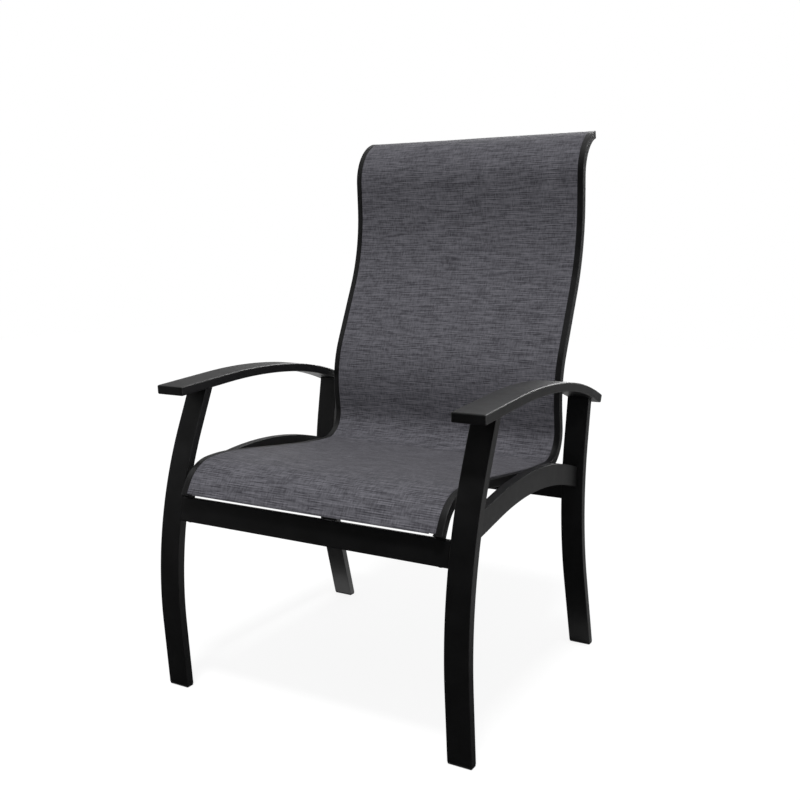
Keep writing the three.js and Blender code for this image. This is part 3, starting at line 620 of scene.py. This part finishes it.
def stitch_group():
    """A row of stitches across the cloth at one distance along it."""
    inputs = {"Vector": None, "Row": 0.0, "Pitch": 0.0036}
    group, given, out = new_group("Stitch row", inputs, ("Thread",))
    parts = split_up(group, given["Vector"])
    off = reckon(group, "ABSOLUTE", reckon(group, "SUBTRACT", parts[1], given["Row"]))
    thread = spread(group, off, 0.00035, 0.0006, 1.0, 0.0)
    step = reckon(group, "FRACT", reckon(group, "DIVIDE", parts[0], given["Pitch"]))
    from_middle = reckon(group, "ABSOLUTE", reckon(group, "SUBTRACT", step, 0.5))
    dash = spread(group, from_middle, 0.34, 0.42, 1.0, 0.0)
    group.links.new(reckon(group, "MULTIPLY", thread, dash), out["Thread"])
    return group


def use(tree, group, **values):
    """Places a node group; its inputs take sockets or values by name."""
    node = tree.nodes.new("ShaderNodeGroup")
    node.node_tree = group
    for key, value in values.items():
        feed(tree, node.inputs[key.capitalize()], value)
    return node.outputs


def new_material(slot, **constants):
    """A finish with one Principled shader; the constants go on the shader's own sockets."""
    material = bpy.data.materials.new(FINISHES[slot])
    material.use_nodes = True
    shader = material.node_tree.nodes["Principled BSDF"]
    for key, value in constants.items():
        shader.inputs[key.replace("_", " ")].default_value = value
    return material.node_tree, shader.inputs


def finish_with(tree, sockets, colour, mask, roughness):
    """Feeds the shader a colour, and a roughness that a mask moves between two."""
    tree.links.new(colour, sockets["Base Color"])
    tree.links.new(spread(tree, mask, 0.0, 1.0, *roughness), sockets["Roughness"])


def emboss(tree, sockets, height, distance, strength):
    bump = put(tree, "ShaderNodeBump", strength, distance)
    tree.links.new(height, bump.inputs["Height"])
    tree.links.new(bump.outputs[0], sockets["Normal"])


def object_place(tree):
    return put(tree, "ShaderNodeTexCoord").outputs["Object"]


def shade_of(colour, factor):
    return (*(min(1.0, part * factor) for part in colour), 1.0)


def grey(level):
    return (level, level, level, 1.0)


def mix_powder_coat(grain, sizes):
    tree, sockets = new_material("powder_coat", IOR=1.45, Specular_IOR_Level=0.7)
    given = use(tree, grain, vector=object_place(tree), size=sizes.coat_grain)
    colours = shade_of(sizes.coat_colour, 0.85), shade_of(sizes.coat_colour, 1.2)
    colour = blend(tree, given["Patches"], *colours)
    finish_with(tree, sockets, colour, given["Patches"], roughness=(0.44, 0.5))
    emboss(tree, sockets, given["Height"], distance=0.00012, strength=0.35)


def mix_nylon(grain):
    tree, sockets = new_material("black_nylon", IOR=1.5, Specular_IOR_Level=0.3)
    given = use(tree, grain, vector=object_place(tree), size=0.0006)
    colour = blend(tree, given["Patches"], *NYLON_COLOURS)
    finish_with(tree, sockets, colour, given["Patches"], roughness=(0.5, 0.62))
    emboss(tree, sockets, given["Height"], distance=0.00008, strength=0.4)


def mix_steel(grain, streaks):
    tree, sockets = new_material("black_steel", Metallic=0.85)
    spot = object_place(tree)
    given = use(tree, grain, vector=spot, size=0.0008)
    streak = use(tree, streaks, vector=spot, length=0.004, pitch=0.0003)["Streak"]
    finish_with(tree, sockets, blend(tree, streak, *STEEL_COLOURS), given["Patches"], roughness=(0.34, 0.5))
    emboss(tree, sockets, streak, distance=0.00004, strength=0.5)


def mix_cloth(weave, streaks, stitches, sizes, stitch_rows):
    """Heathered woven cloth: yarns of two greys with slubs that run both ways, painted shade between the
    yarns, and the hems' stitches.
    """
    tree, sockets = new_material(
        "sling_cloth", IOR=1.45, Specular_IOR_Level=0.15, Sheen_Weight=0.08, Sheen_Roughness=0.4,
    )
    flat = put(tree, "ShaderNodeTexCoord").outputs["UV"]
    given = use(tree, weave, vector=flat, spacing=(sizes.long_yarn, sizes.cross_yarn, 1.0))
    parts = split_up(tree, flat)
    swapped = put(tree, "ShaderNodeCombineXYZ", parts[1], parts[0]).outputs[0]
    pitch = SLUB_YARNS * sizes.long_yarn
    across = use(tree, streaks, vector=flat, length=CROSSWISE_SLUB, pitch=sizes.cross_yarn)["Streak"]
    along = use(tree, streaks, vector=swapped, length=LENGTHWISE_SLUB, pitch=pitch)["Streak"]
    on_top = mix(tree, given["Crosswise"], along, across)
    streaked = mix(tree, ON_TOP_SHARE, mix(tree, LENGTHWISE_SHARE, across, along), on_top)
    own = reckon(tree, "MULTIPLY_ADD", given["Yarn"], YARN_CONTRAST, -YARN_CONTRAST / 2)
    share = reckon(tree, "ADD", streaked, own)
    yarns = blend(tree, share, shade_of(sizes.dark_yarn, 1.0), shade_of(sizes.light_yarn, 1.0))
    # Painted shade: where the weave's height is low, between the yarns, the colour is darkened towards half
    # the dark yarn
    valley_shade = spread(tree, given["Height"], 0.1, 0.7, 0.75, 1.0)
    woven = blend(tree, valley_shade, shade_of(sizes.dark_yarn, 0.5), yarns)
    thread, *others = (use(tree, stitches, vector=flat, row=row)["Thread"] for row in stitch_rows)
    for other in others:
        thread = reckon(tree, "MAXIMUM", thread, other)
    colour = blend(tree, thread, woven, shade_of(sizes.light_yarn, 0.6))
    finish_with(tree, sockets, colour, given["Yarn"], roughness=(0.62, 0.78))
    emboss(tree, sockets, reckon(tree, "ADD", given["Height"], thread), distance=0.00025, strength=0.45)


# Operators


class CHAIR_OT_finishes(bpy.types.Operator):
    """Mixes the powder coat, the woven cloth, the nylon and the steel"""

    bl_idname = "patio_chair.finishes"
    bl_label = "Finishes"

    def execute(self, context):
        grain, weave, streaks, stitches = grain_group(), weave_group(), streak_group(), stitch_group()
        sling = context.scene.chair_sling
        mix_powder_coat(grain, context.scene.chair_frame)
        mix_nylon(grain)
        mix_steel(grain, streaks)
        inset, fold = sling.hem_width * STITCH_SHARE, math.pi * fold_radius(sling)
        face = cloth_length()
        mix_cloth(weave, streaks, stitches, sling, (inset, -inset - fold, face - inset, face + fold + inset))
        return {"FINISHED"}


class CHAIR_OT_legs(bpy.types.Operator):
    """Bends the four legs and sets a glide under each"""

    bl_idname = "patio_chair.legs"
    bl_label = "Legs and glides"

    def execute(self, context):
        sizes = context.scene.chair_frame
        for side_name, side in SIDES:
            for leg_name, (foot, heading, runs) in LEGS.items():
                floor = place_of((foot, 0.0), heading, side * sizes.leg_centre)
                below = after(floor, -sizes.bar_thickness, 0)
                self.leg(sizes, f"{leg_name}_leg_{side_name}", below, runs)
                self.glide(sizes, f"{leg_name}_glide_{side_name}", below)
        return {"FINISHED"}

    def outline(self, sizes):
        return block_outline(-sizes.leg_width / 2, sizes.leg_width / 2, -sizes.bar_thickness, 0.0)

    def leg(self, sizes, name, below, runs):
        (shin, _), *others = runs
        bm, ends = bend_bar(below, [(shin + sizes.bar_thickness, 0), *others], self.outline(sizes))
        round_off(bm, corners(bm, without=ends), sizes.bar_edge)
        trim(bm, sizes.glide_height, -1.0)
        finish_piece(bm, name, "powder_coat")

    def glide(self, sizes, name, below):
        bm, _ = bend_bar(below, [(sizes.bar_thickness + 2 * sizes.glide_height, 0)], self.outline(sizes))
        trim(bm, 0.0, -1.0)
        trim(bm, sizes.glide_height - GLIDE_GAP, 1.0)
        middle = sizes.glide_height / 2
        upright = [edge for edge in bm.edges if abs(edge.verts[0].co.z - edge.verts[1].co.z) > middle]
        round_off(bm, upright, sizes.glide_edge)
        sole = [edge for edge in corners(bm) if max(vert.co.z for vert in edge.verts) < middle]
        round_off(bm, sole, sizes.glide_edge * SOLE_SHARE)
        finish_piece(bm, name, "black_nylon")


class CHAIR_OT_armrests(bpy.types.Operator):
    """Bends the two flat armrests and rounds their closed ends"""

    bl_idname = "patio_chair.armrests"
    bl_label = "Armrests"

    def execute(self, context):
        sizes = context.scene.chair_frame
        outline = block_outline(-sizes.arm_width / 2, sizes.arm_width / 2, -sizes.arm_thickness, 0.0)
        for side_name, side in SIDES:
            place = place_of(ARM_START, ARM_HEADING, side * sizes.arm_centre)
            bm, _ = bend_bar(place, arm_runs(), outline)
            round_off(bm, corners(bm), sizes.arm_edge, segments=5)
            finish_piece(bm, f"armrest_{side_name}", "powder_coat")
        return {"FINISHED"}


class CHAIR_OT_seat_frame(bpy.types.Operator):
    """Bends the arched side rails and lays the two cross rails between the legs"""

    bl_idname = "patio_chair.seat_frame"
    bl_label = "Side and cross rails"

    def execute(self, context):
        sizes = context.scene.chair_frame
        half, tall = sizes.bar_thickness / 2, sizes.side_rail_height / 2
        for side_name, side in SIDES:
            place = place_of(SIDE_RAIL_START, SIDE_RAIL_HEADING, side * sizes.leg_centre)
            outline = block_outline(-half, half, -tall, tall)
            self.rail(sizes, f"side_rail_{side_name}", place, SIDE_RAIL_RUNS, outline)
        reach, tall = sizes.leg_centre - sizes.leg_width / 2, sizes.cross_rail_height / 2
        for name, (spot, heading) in CROSS_RAILS.items():
            place = crosswise(place_of(spot, heading)) @ Matrix.Translation((0.0, -reach, 0.0))
            outline = block_outline(-tall, tall, -sizes.bar_thickness, 0.0)
            self.rail(sizes, f"{name}_cross_rail", place, [(2 * reach, 0)], outline)
        return {"FINISHED"}

    def rail(self, sizes, name, place, runs, outline):
        bm, ends = bend_bar(place, runs, outline)
        round_off(bm, corners(bm, without=ends), sizes.bar_edge)
        finish_piece(bm, name, "powder_coat")


class CHAIR_OT_sling_rails(bpy.types.Operator):
    """Bends the two grooved sling rails and closes their ends with caps"""

    bl_idname = "patio_chair.sling_rails"
    bl_label = "Sling rails and caps"

    def execute(self, context):
        sizes = context.scene.chair_sling
        runs = SLING_RUNS.values()
        for side_name, side in SIDES:
            foot = sling_place(side * sizes.rail_inner)
            head = locate(foot, runs, length_of(runs))
            self.rail(sizes, f"sling_rail_{side_name}", foot, runs, side)
            under, over = after(foot, -CAP_THICKNESS - FOOT_CAP_GAP, 0), after(head, HEAD_CAP_GAP, 0)
            self.cap(sizes, f"rail_foot_cap_{side_name}", under, side)
            self.cap(sizes, f"rail_head_cap_{side_name}", over, side)
        return {"FINISHED"}

    def outline(self, sizes):
        """The rail's section with its open groove, outwards from its inner side and up from its face."""
        inset, width, depth = sizes.groove_inset, sizes.rail_width, sizes.rail_depth
        lip, mouth = -sizes.cloth_thickness - CLOTH_GAP, sizes.cloth_thickness / 2 + CLOTH_GAP
        inner_depth, outer_depth = MOUTH_DEPTHS
        groove = [(-mouth, lip), (-mouth, -inner_depth), *GROOVE_HOLE, (mouth, -outer_depth), (mouth, 0.0)]
        return [
            *((inset + across, off) for across, off in groove),
            (width, 0.0), (width, -depth), (0.0, -depth), (0.0, lip),
        ]

    def rail(self, sizes, name, place, runs, side):
        bm, ends = bend_bar(place, runs, [(side * across, off) for across, off in self.outline(sizes)])
        outside, lips = self.long_edges(bm, ends, side * sizes.rail_inner, sizes.rail_width)
        round_off(bm, lips, sizes.lip_edge, segments=2)
        round_off(bm, outside, sizes.rail_edge)
        finish_piece(bm, name, "powder_coat")

    def long_edges(self, bm, ends, inner, width):
        """The rail's outside corners, and the lip of its groove."""
        outside, lips = [], []
        for edge in corners(bm, without=ends):
            nearest, furthest = sorted(abs(vert.co.x - inner) for vert in edge.verts)
            if furthest < 10 * TOUCHING or nearest > width - 10 * TOUCHING:
                outside.append(edge)
            elif any(self.breadth(face) > width / 2 for face in edge.link_faces):
                lips.append(edge)
        return outside, lips

    def breadth(self, face):
        places = [vert.co.x for vert in face.verts]
        return max(places) - min(places)

    def cap(self, sizes, name, place, side):
        outline = block_outline(0.0, sizes.rail_width, -sizes.rail_depth, 0.0)
        bm, ends = bend_bar(place, [(CAP_THICKNESS, 0)], [(side * across, off) for across, off in outline])
        round_off(bm, corners(bm, without=ends), sizes.rail_edge)
        round_off(bm, corners(bm), CAP_EDGE, segments=2)
        finish_piece(bm, name, "black_nylon")


class CHAIR_OT_sling(bpy.types.Operator):
    """Stretches the flat cut cloth over the rails, into their grooves and round the hem rods"""

    bl_idname = "patio_chair.sling"
    bl_label = "Sling cloth"

    def execute(self, context):
        sizes = context.scene.chair_sling
        half = length_of(width_runs(sizes))
        face = cloth_length()
        hem = sizes.hem_width + math.pi * fold_radius(sizes)
        columns, rows = self.columns(sizes, half), self.rows(face, hem)
        bm = bmesh.new()
        grid = bmesh.ops.create_grid(bm, x_segments=len(columns) - 1, y_segments=len(rows) - 1, size=0.5)
        index = {vert: self.grid_index(vert, columns, rows) for vert in grid["verts"]}
        self.lay_out(bm, index, columns, rows, sizes)
        self.clear_hem_ends(bm, index, columns, rows, sizes)
        cloth = finish_piece(bm, "sling", "sling_cloth", sharp=180.0)
        cloth.modifiers.clear()
        wall = cloth.modifiers.new("Cloth thickness", "SOLIDIFY")
        wall.thickness, wall.offset, wall.use_even_offset = sizes.cloth_thickness, -1.0, False
        rods = [self.hem_rod(sizes, f"hem_rod_{side_name}", side) for side_name, side in SIDES]
        return {"FINISHED"}

    def columns(self, sizes, half):
        """Where the cloth's columns lie across it: even between the rails, close together in the grooves."""
        flat = neck_place(sizes) - EDGE_MARGIN
        inside = [flat * (2.0 * i / FACE_COLUMNS - 1.0) for i in range(FACE_COLUMNS + 1)]
        outside = [flat + (half - flat) * (i + 1) / EDGE_COLUMNS for i in range(EDGE_COLUMNS)]
        return [-part for part in reversed(outside)] + inside + outside

    def rows(self, face, hem):
        """Where the cloth's rows lie along it, from the end of the front hem to the end of the top one."""
        front = [(i - HEM_ROWS) * hem / HEM_ROWS for i in range(HEM_ROWS)]
        middle = [i * face / FACE_ROWS for i in range(FACE_ROWS + 1)]
        return front + middle + [face + (i + 1) * hem / HEM_ROWS for i in range(HEM_ROWS)]

    def grid_index(self, vert, columns, rows):
        return round((vert.co.x + 0.5) * (len(columns) - 1)), round((vert.co.y + 0.5) * (len(rows) - 1))

    def row_place(self, row, sizes):
        """The place of a row on the sling's face line, or where its hem is turned under."""
        runs, start, radius, face = cloth_runs(), cloth_start(), fold_radius(sizes), cloth_length()
        beyond = max(-row, row - face)
        if beyond <= 0:
            return locate(start, runs, row)
        way = -1.0 if row < 0 else 1.0
        turn = min(beyond / radius, math.pi)
        back = max(0.0, beyond - math.pi * radius)
        edge = locate(start, runs, back if row < 0 else face - back)
        shift = (0.0, way * radius * math.sin(turn), radius * (math.cos(turn) - 1.0))
        return edge @ Matrix.Translation(shift)

    def lay_out(self, bm, index, columns, rows, sizes):
        """Gives the flat cloth its map and then takes each of its points to its place on the rails."""
        middle, runs = Matrix.Identity(4), width_runs(sizes)
        edges = [locate(middle, runs, abs(column)).translation for column in columns]
        spots = [(math.copysign(spot.y, column), spot.z) for spot, column in zip(edges, columns)]
        places = [self.row_place(row, sizes) for row in rows]
        flat = bm.loops.layers.uv.new("Flat cloth")
        for vert, (column, row) in index.items():
            x, off = spots[column]
            ease = math.cos(math.pi / 2 * min(1.0, abs(x) / sizes.rail_inner))
            wave = noise.noise((x * RIPPLES_ACROSS, rows[row] * RIPPLES_ALONG, RIPPLE_SEED))
            vert.co = places[row] @ Vector((x, 0.0, off + RIPPLE_HEIGHT * ease * wave))
            for loop in vert.link_loops:
                loop[flat].uv = (columns[column], rows[row])

    def clear_hem_ends(self, bm, index, columns, rows, sizes):
        """Cuts the turned hems away beside the rails."""
        last, inner = len(rows) - 1 - HEM_ROWS, sizes.rail_inner - FOLD_SETBACK
        spare = [
            face for face in bm.faces
            if any(not HEM_ROWS <= index[vert][1] <= last for vert in face.verts)
            and any(abs(columns[index[vert][0]]) > inner for vert in face.verts)
        ]
        bmesh.ops.delete(bm, geom=spare, context="FACES")

    def hem_rod(self, sizes, name, side):
        middle = side * (neck_place(sizes) + HEM_RADIUS)
        place = cloth_start() @ Matrix.Translation((middle, 0.0, -HEM_DEPTH))
        runs = [
            (size + math.copysign(HEM_DEPTH, turn) if turn else size, turn) for size, turn in cloth_runs()
        ]
        bm, _ = bend_bar(place, runs, ring_outline(HEM_ROD_RADIUS, HEM_ROD_FACETS))
        return finish_piece(bm, name, "black_nylon")


class CHAIR_OT_spreaders(bpy.types.Operator):
    """Bends the three spreader bars and sets their screws' low heads in the rails"""

    bl_idname = "patio_chair.spreaders"
    bl_label = "Spreader bars"

    def execute(self, context):
        sizes = context.scene.chair_sling
        for name, (run, share) in SPREADERS.items():
            self.bar(sizes, f"{name}_spreader", self.middle(run, share))
            for side_name, side in SIDES:
                self.screw(sizes, f"{name}_spreader_screw_{side_name}", self.middle(run, share), side)
        return {"FINISHED"}

    def middle(self, run_name, share):
        """The bar's middle under a share of a run of the sling's face line, with its second axis across."""
        place = sling_place()
        for name, run in SLING_RUNS.items():
            if name == run_name:
                return crosswise(after(place, *run, share) @ Matrix.Translation((0.0, 0.0, -SPREADER_DEPTH)))
            place = after(place, *run)
        raise ValueError(f"The sling has no run called {run_name}")

    def bar(self, sizes, name, middle):
        tilt = math.radians(SPREADER_TILT)
        radius = (sizes.rail_inner - SPREADER_END * math.cos(tilt)) / math.sin(tilt)
        runs = ((SPREADER_END, 0), (radius, 2 * SPREADER_TILT), (SPREADER_END, 0))
        start = Matrix.Translation((0.0, -sizes.rail_inner, 0.0)) @ turned(-SPREADER_TILT, "X")
        bm, _ = bend_bar(start, runs, ring_outline(SPREADER_RADIUS, SPREADER_FACETS))
        bmesh.ops.transform(bm, matrix=middle, verts=bm.verts)
        plugs = [f"{name}_plug_{side_name}" for side_name, _ in SIDES]
        finish_piece(bm, name, "powder_coat", [name, *plugs])

    def screw(self, sizes, name, middle, side):
        """A low button head with a round socket, turned out of one profile."""
        outer = sizes.rail_inner + sizes.rail_width - SCREW_SINK
        bm = bmesh.new()
        verts = [bm.verts.new((radius, 0.0, height)) for radius, height in SCREW_PROFILE]
        edges = [bm.edges.new(pair) for pair in zip(verts, verts[1:])]
        bmesh.ops.spin(
            bm, geom=[*verts, *edges], cent=(0.0, 0.0, 0.0), axis=(0.0, 0.0, 1.0), angle=2 * math.pi,
            steps=SCREW_FACETS, use_merge=True, use_duplicate=False,
        )
        bmesh.ops.remove_doubles(bm, verts=bm.verts, dist=TOUCHING)
        place = middle @ Matrix.Translation((0.0, side * outer, 0.0)) @ turned(-90.0 * side, "X")
        bmesh.ops.transform(bm, matrix=place, verts=bm.verts)
        finish_piece(bm, name, "black_steel")


class CHAIR_OT_fittings(bpy.types.Operator):
    """Finishes the tabs, spacers and mounting screws that the frame already holds"""

    bl_idname = "patio_chair.fittings"
    bl_label = "Fittings"

    def execute(self, context):
        for finish, stems in FITTINGS.items():
            for stem in stems:
                for side_name, _ in SIDES:
                    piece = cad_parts[f"{stem}_{side_name}"]
                    piece.material_slots[0].material = bpy.data.materials[FINISHES[finish]]
        return {"FINISHED"}


class CHAIR_OT_stage(bpy.types.Operator):
    """Sets the pale floor, the soft light and the camera"""

    bl_idname = "patio_chair.stage"
    bl_label = "Stage"

    def execute(self, context):
        scene, sizes = context.scene, context.scene.chair_stage
        self.floor(scene, sizes)
        self.sky(scene, sizes)
        key = self.lamp(scene, "Key light", "SUN", KEY_SPOT, sizes.key_light)
        key.data.angle = math.radians(KEY_SPREAD)
        back = self.lamp(scene, "Back light", "AREA", BACK_SPOT, sizes.back_power)
        back.data.size = BACK_SIZE
        back.visible_diffuse = False
        front = self.lamp(scene, "Front light", "AREA", FRONT_SPOT, sizes.front_power)
        front.data.size = FRONT_SIZE
        front.visible_glossy = False
        for name, (spot, turns, size, level) in CARDS.items():
            self.card(scene, name, spot, turns, size, level)
        self.camera(scene, sizes)
        scene.view_settings.view_transform = "Standard"
        return {"FINISHED"}

    def camera(self, scene, sizes):
        data = bpy.data.cameras.new("Camera")
        data.sensor_width = SENSOR_WIDTH
        data.lens = SENSOR_WIDTH / 2 / math.tan(math.radians(FIELD_OF_VIEW / 2))
        camera = bpy.data.objects.new("Camera", data)
        camera.location = CAMERA_SPOT
        camera.rotation_euler = (math.radians(90.0 - CAMERA_DIP), 0.0, sizes.view_turn)
        scene.collection.objects.link(camera)
        scene.camera = camera

    def lamp(self, scene, name, kind, spot, power):
        data = bpy.data.lights.new(name, kind)
        data.energy = power
        lamp = bpy.data.objects.new(name, data)
        lamp.location = spot
        lamp.rotation_euler = (Vector(LAMP_AIM) - lamp.location).to_track_quat("-Z", "Y").to_euler()
        scene.collection.objects.link(lamp)
        return lamp

    def white_behind(self, tree):
        """One where a camera, glossy or transmitted ray looks past the chair."""
        path = put(tree, "ShaderNodeLightPath").outputs
        seen = reckon(tree, "MAXIMUM", path["Is Camera Ray"], path["Is Glossy Ray"])
        return reckon(tree, "MAXIMUM", seen, path["Is Transmission Ray"])

    def sky(self, scene, sizes):
        """Soft light from all round, which looks plain white behind the chair."""
        world = bpy.data.worlds.new("Studio")
        scene.world = world
        world.use_nodes = True
        tree = world.node_tree
        tree.nodes.clear()
        soft = put(tree, "ShaderNodeBackground", grey(1.0), sizes.sky_light).outputs[0]
        white = put(tree, "ShaderNodeBackground", grey(1.0), 1.0).outputs[0]
        either = put(tree, "ShaderNodeMixShader", self.white_behind(tree), soft, white).outputs[0]
        put(tree, "ShaderNodeOutputWorld", either)

    def plane(self, scene, name, place, width, height, material):
        bm = bmesh.new()
        bmesh.ops.create_grid(bm, x_segments=1, y_segments=1, size=0.5)
        bmesh.ops.transform(bm, matrix=place @ Matrix.Diagonal((width, height, 1.0, 1.0)), verts=bm.verts)
        mesh = mesh_of(bm, name)
        mesh.materials.append(material)
        plane = bpy.data.objects.new(name, mesh)
        scene.collection.objects.link(plane)
        return plane

    def floor(self, scene, sizes):
        """A floor that looks almost white, keeps the chair's shadow and throws back a plain soft light."""
        material = bpy.data.materials.new("pale_floor")
        material.use_nodes = True
        tree = material.node_tree
        tree.nodes.clear()
        lit = put(tree, "ShaderNodeBsdfDiffuse", grey(FLOOR_BOUNCE)).outputs[0]
        glow = put(tree, "ShaderNodeEmission", grey(FLOOR_GLOW), 1.0).outputs[0]
        shade = put(tree, "ShaderNodeBsdfDiffuse", grey(FLOOR_SHADE)).outputs[0]
        seen = put(tree, "ShaderNodeAddShader", glow, shade).outputs[0]
        either = put(tree, "ShaderNodeMixShader", self.white_behind(tree), lit, seen).outputs[0]
        put(tree, "ShaderNodeOutputMaterial", either)
        self.plane(scene, "floor", Matrix.Identity(4), sizes.floor_size, sizes.floor_size, material)

    def card(self, scene, name, spot, turns, size, level):
        """A dark or mid grey card that only gloss sees; it sets the tone of the faces that turn to it."""
        material = bpy.data.materials.new(name)
        material.use_nodes = True
        shader = material.node_tree.nodes["Principled BSDF"]
        shader.inputs["Base Color"].default_value = grey(level)
        shader.inputs["Roughness"].default_value = 1.0
        lean, turn = turns
        place = Matrix.Translation(spot) @ turned(turn, "Z") @ turned(lean, "X")
        card = self.plane(scene, name, place, *size, material)
        card.visible_camera = card.visible_diffuse = card.visible_shadow = card.visible_transmission = False


OPERATORS = (
    CHAIR_OT_stage, CHAIR_OT_finishes, CHAIR_OT_legs, CHAIR_OT_armrests, CHAIR_OT_seat_frame,
    CHAIR_OT_sling_rails, CHAIR_OT_sling, CHAIR_OT_spreaders, CHAIR_OT_fittings,
)
GROUPS = {"chair_frame": ChairFrameSizes, "chair_sling": ChairSlingSizes, "chair_stage": ChairStageSizes}


class CHAIR_PT_parts(bpy.types.Panel):
    """Sizes, finishes and pieces of the chair"""

    bl_idname = "CHAIR_PT_parts"
    bl_label = "Patio Chair"
    bl_space_type = "VIEW_3D"
    bl_region_type = "UI"
    bl_category = "Patio Chair"

    def draw(self, context):
        for key, group in GROUPS.items():
            box = self.layout.box()
            for label in group.__annotations__:
                box.prop(getattr(context.scene, key), label)
        for operator in OPERATORS:
            self.layout.operator(operator.bl_idname)


CLASSES = (*GROUPS.values(), *OPERATORS, CHAIR_PT_parts)


def register():
    for cls in CLASSES:
        bpy.utils.register_class(cls)
    for key, group in GROUPS.items():
        setattr(bpy.types.Scene, key, PointerProperty(type=group))


def unregister():
    for key in GROUPS:
        delattr(bpy.types.Scene, key)
    for cls in reversed(CLASSES):
        bpy.utils.unregister_class(cls)


def main():
    register()
    for operator in OPERATORS:
        family, name = operator.bl_idname.split(".")
        getattr(getattr(bpy.ops, family), name)()


if __name__ == "__main__":
    main()
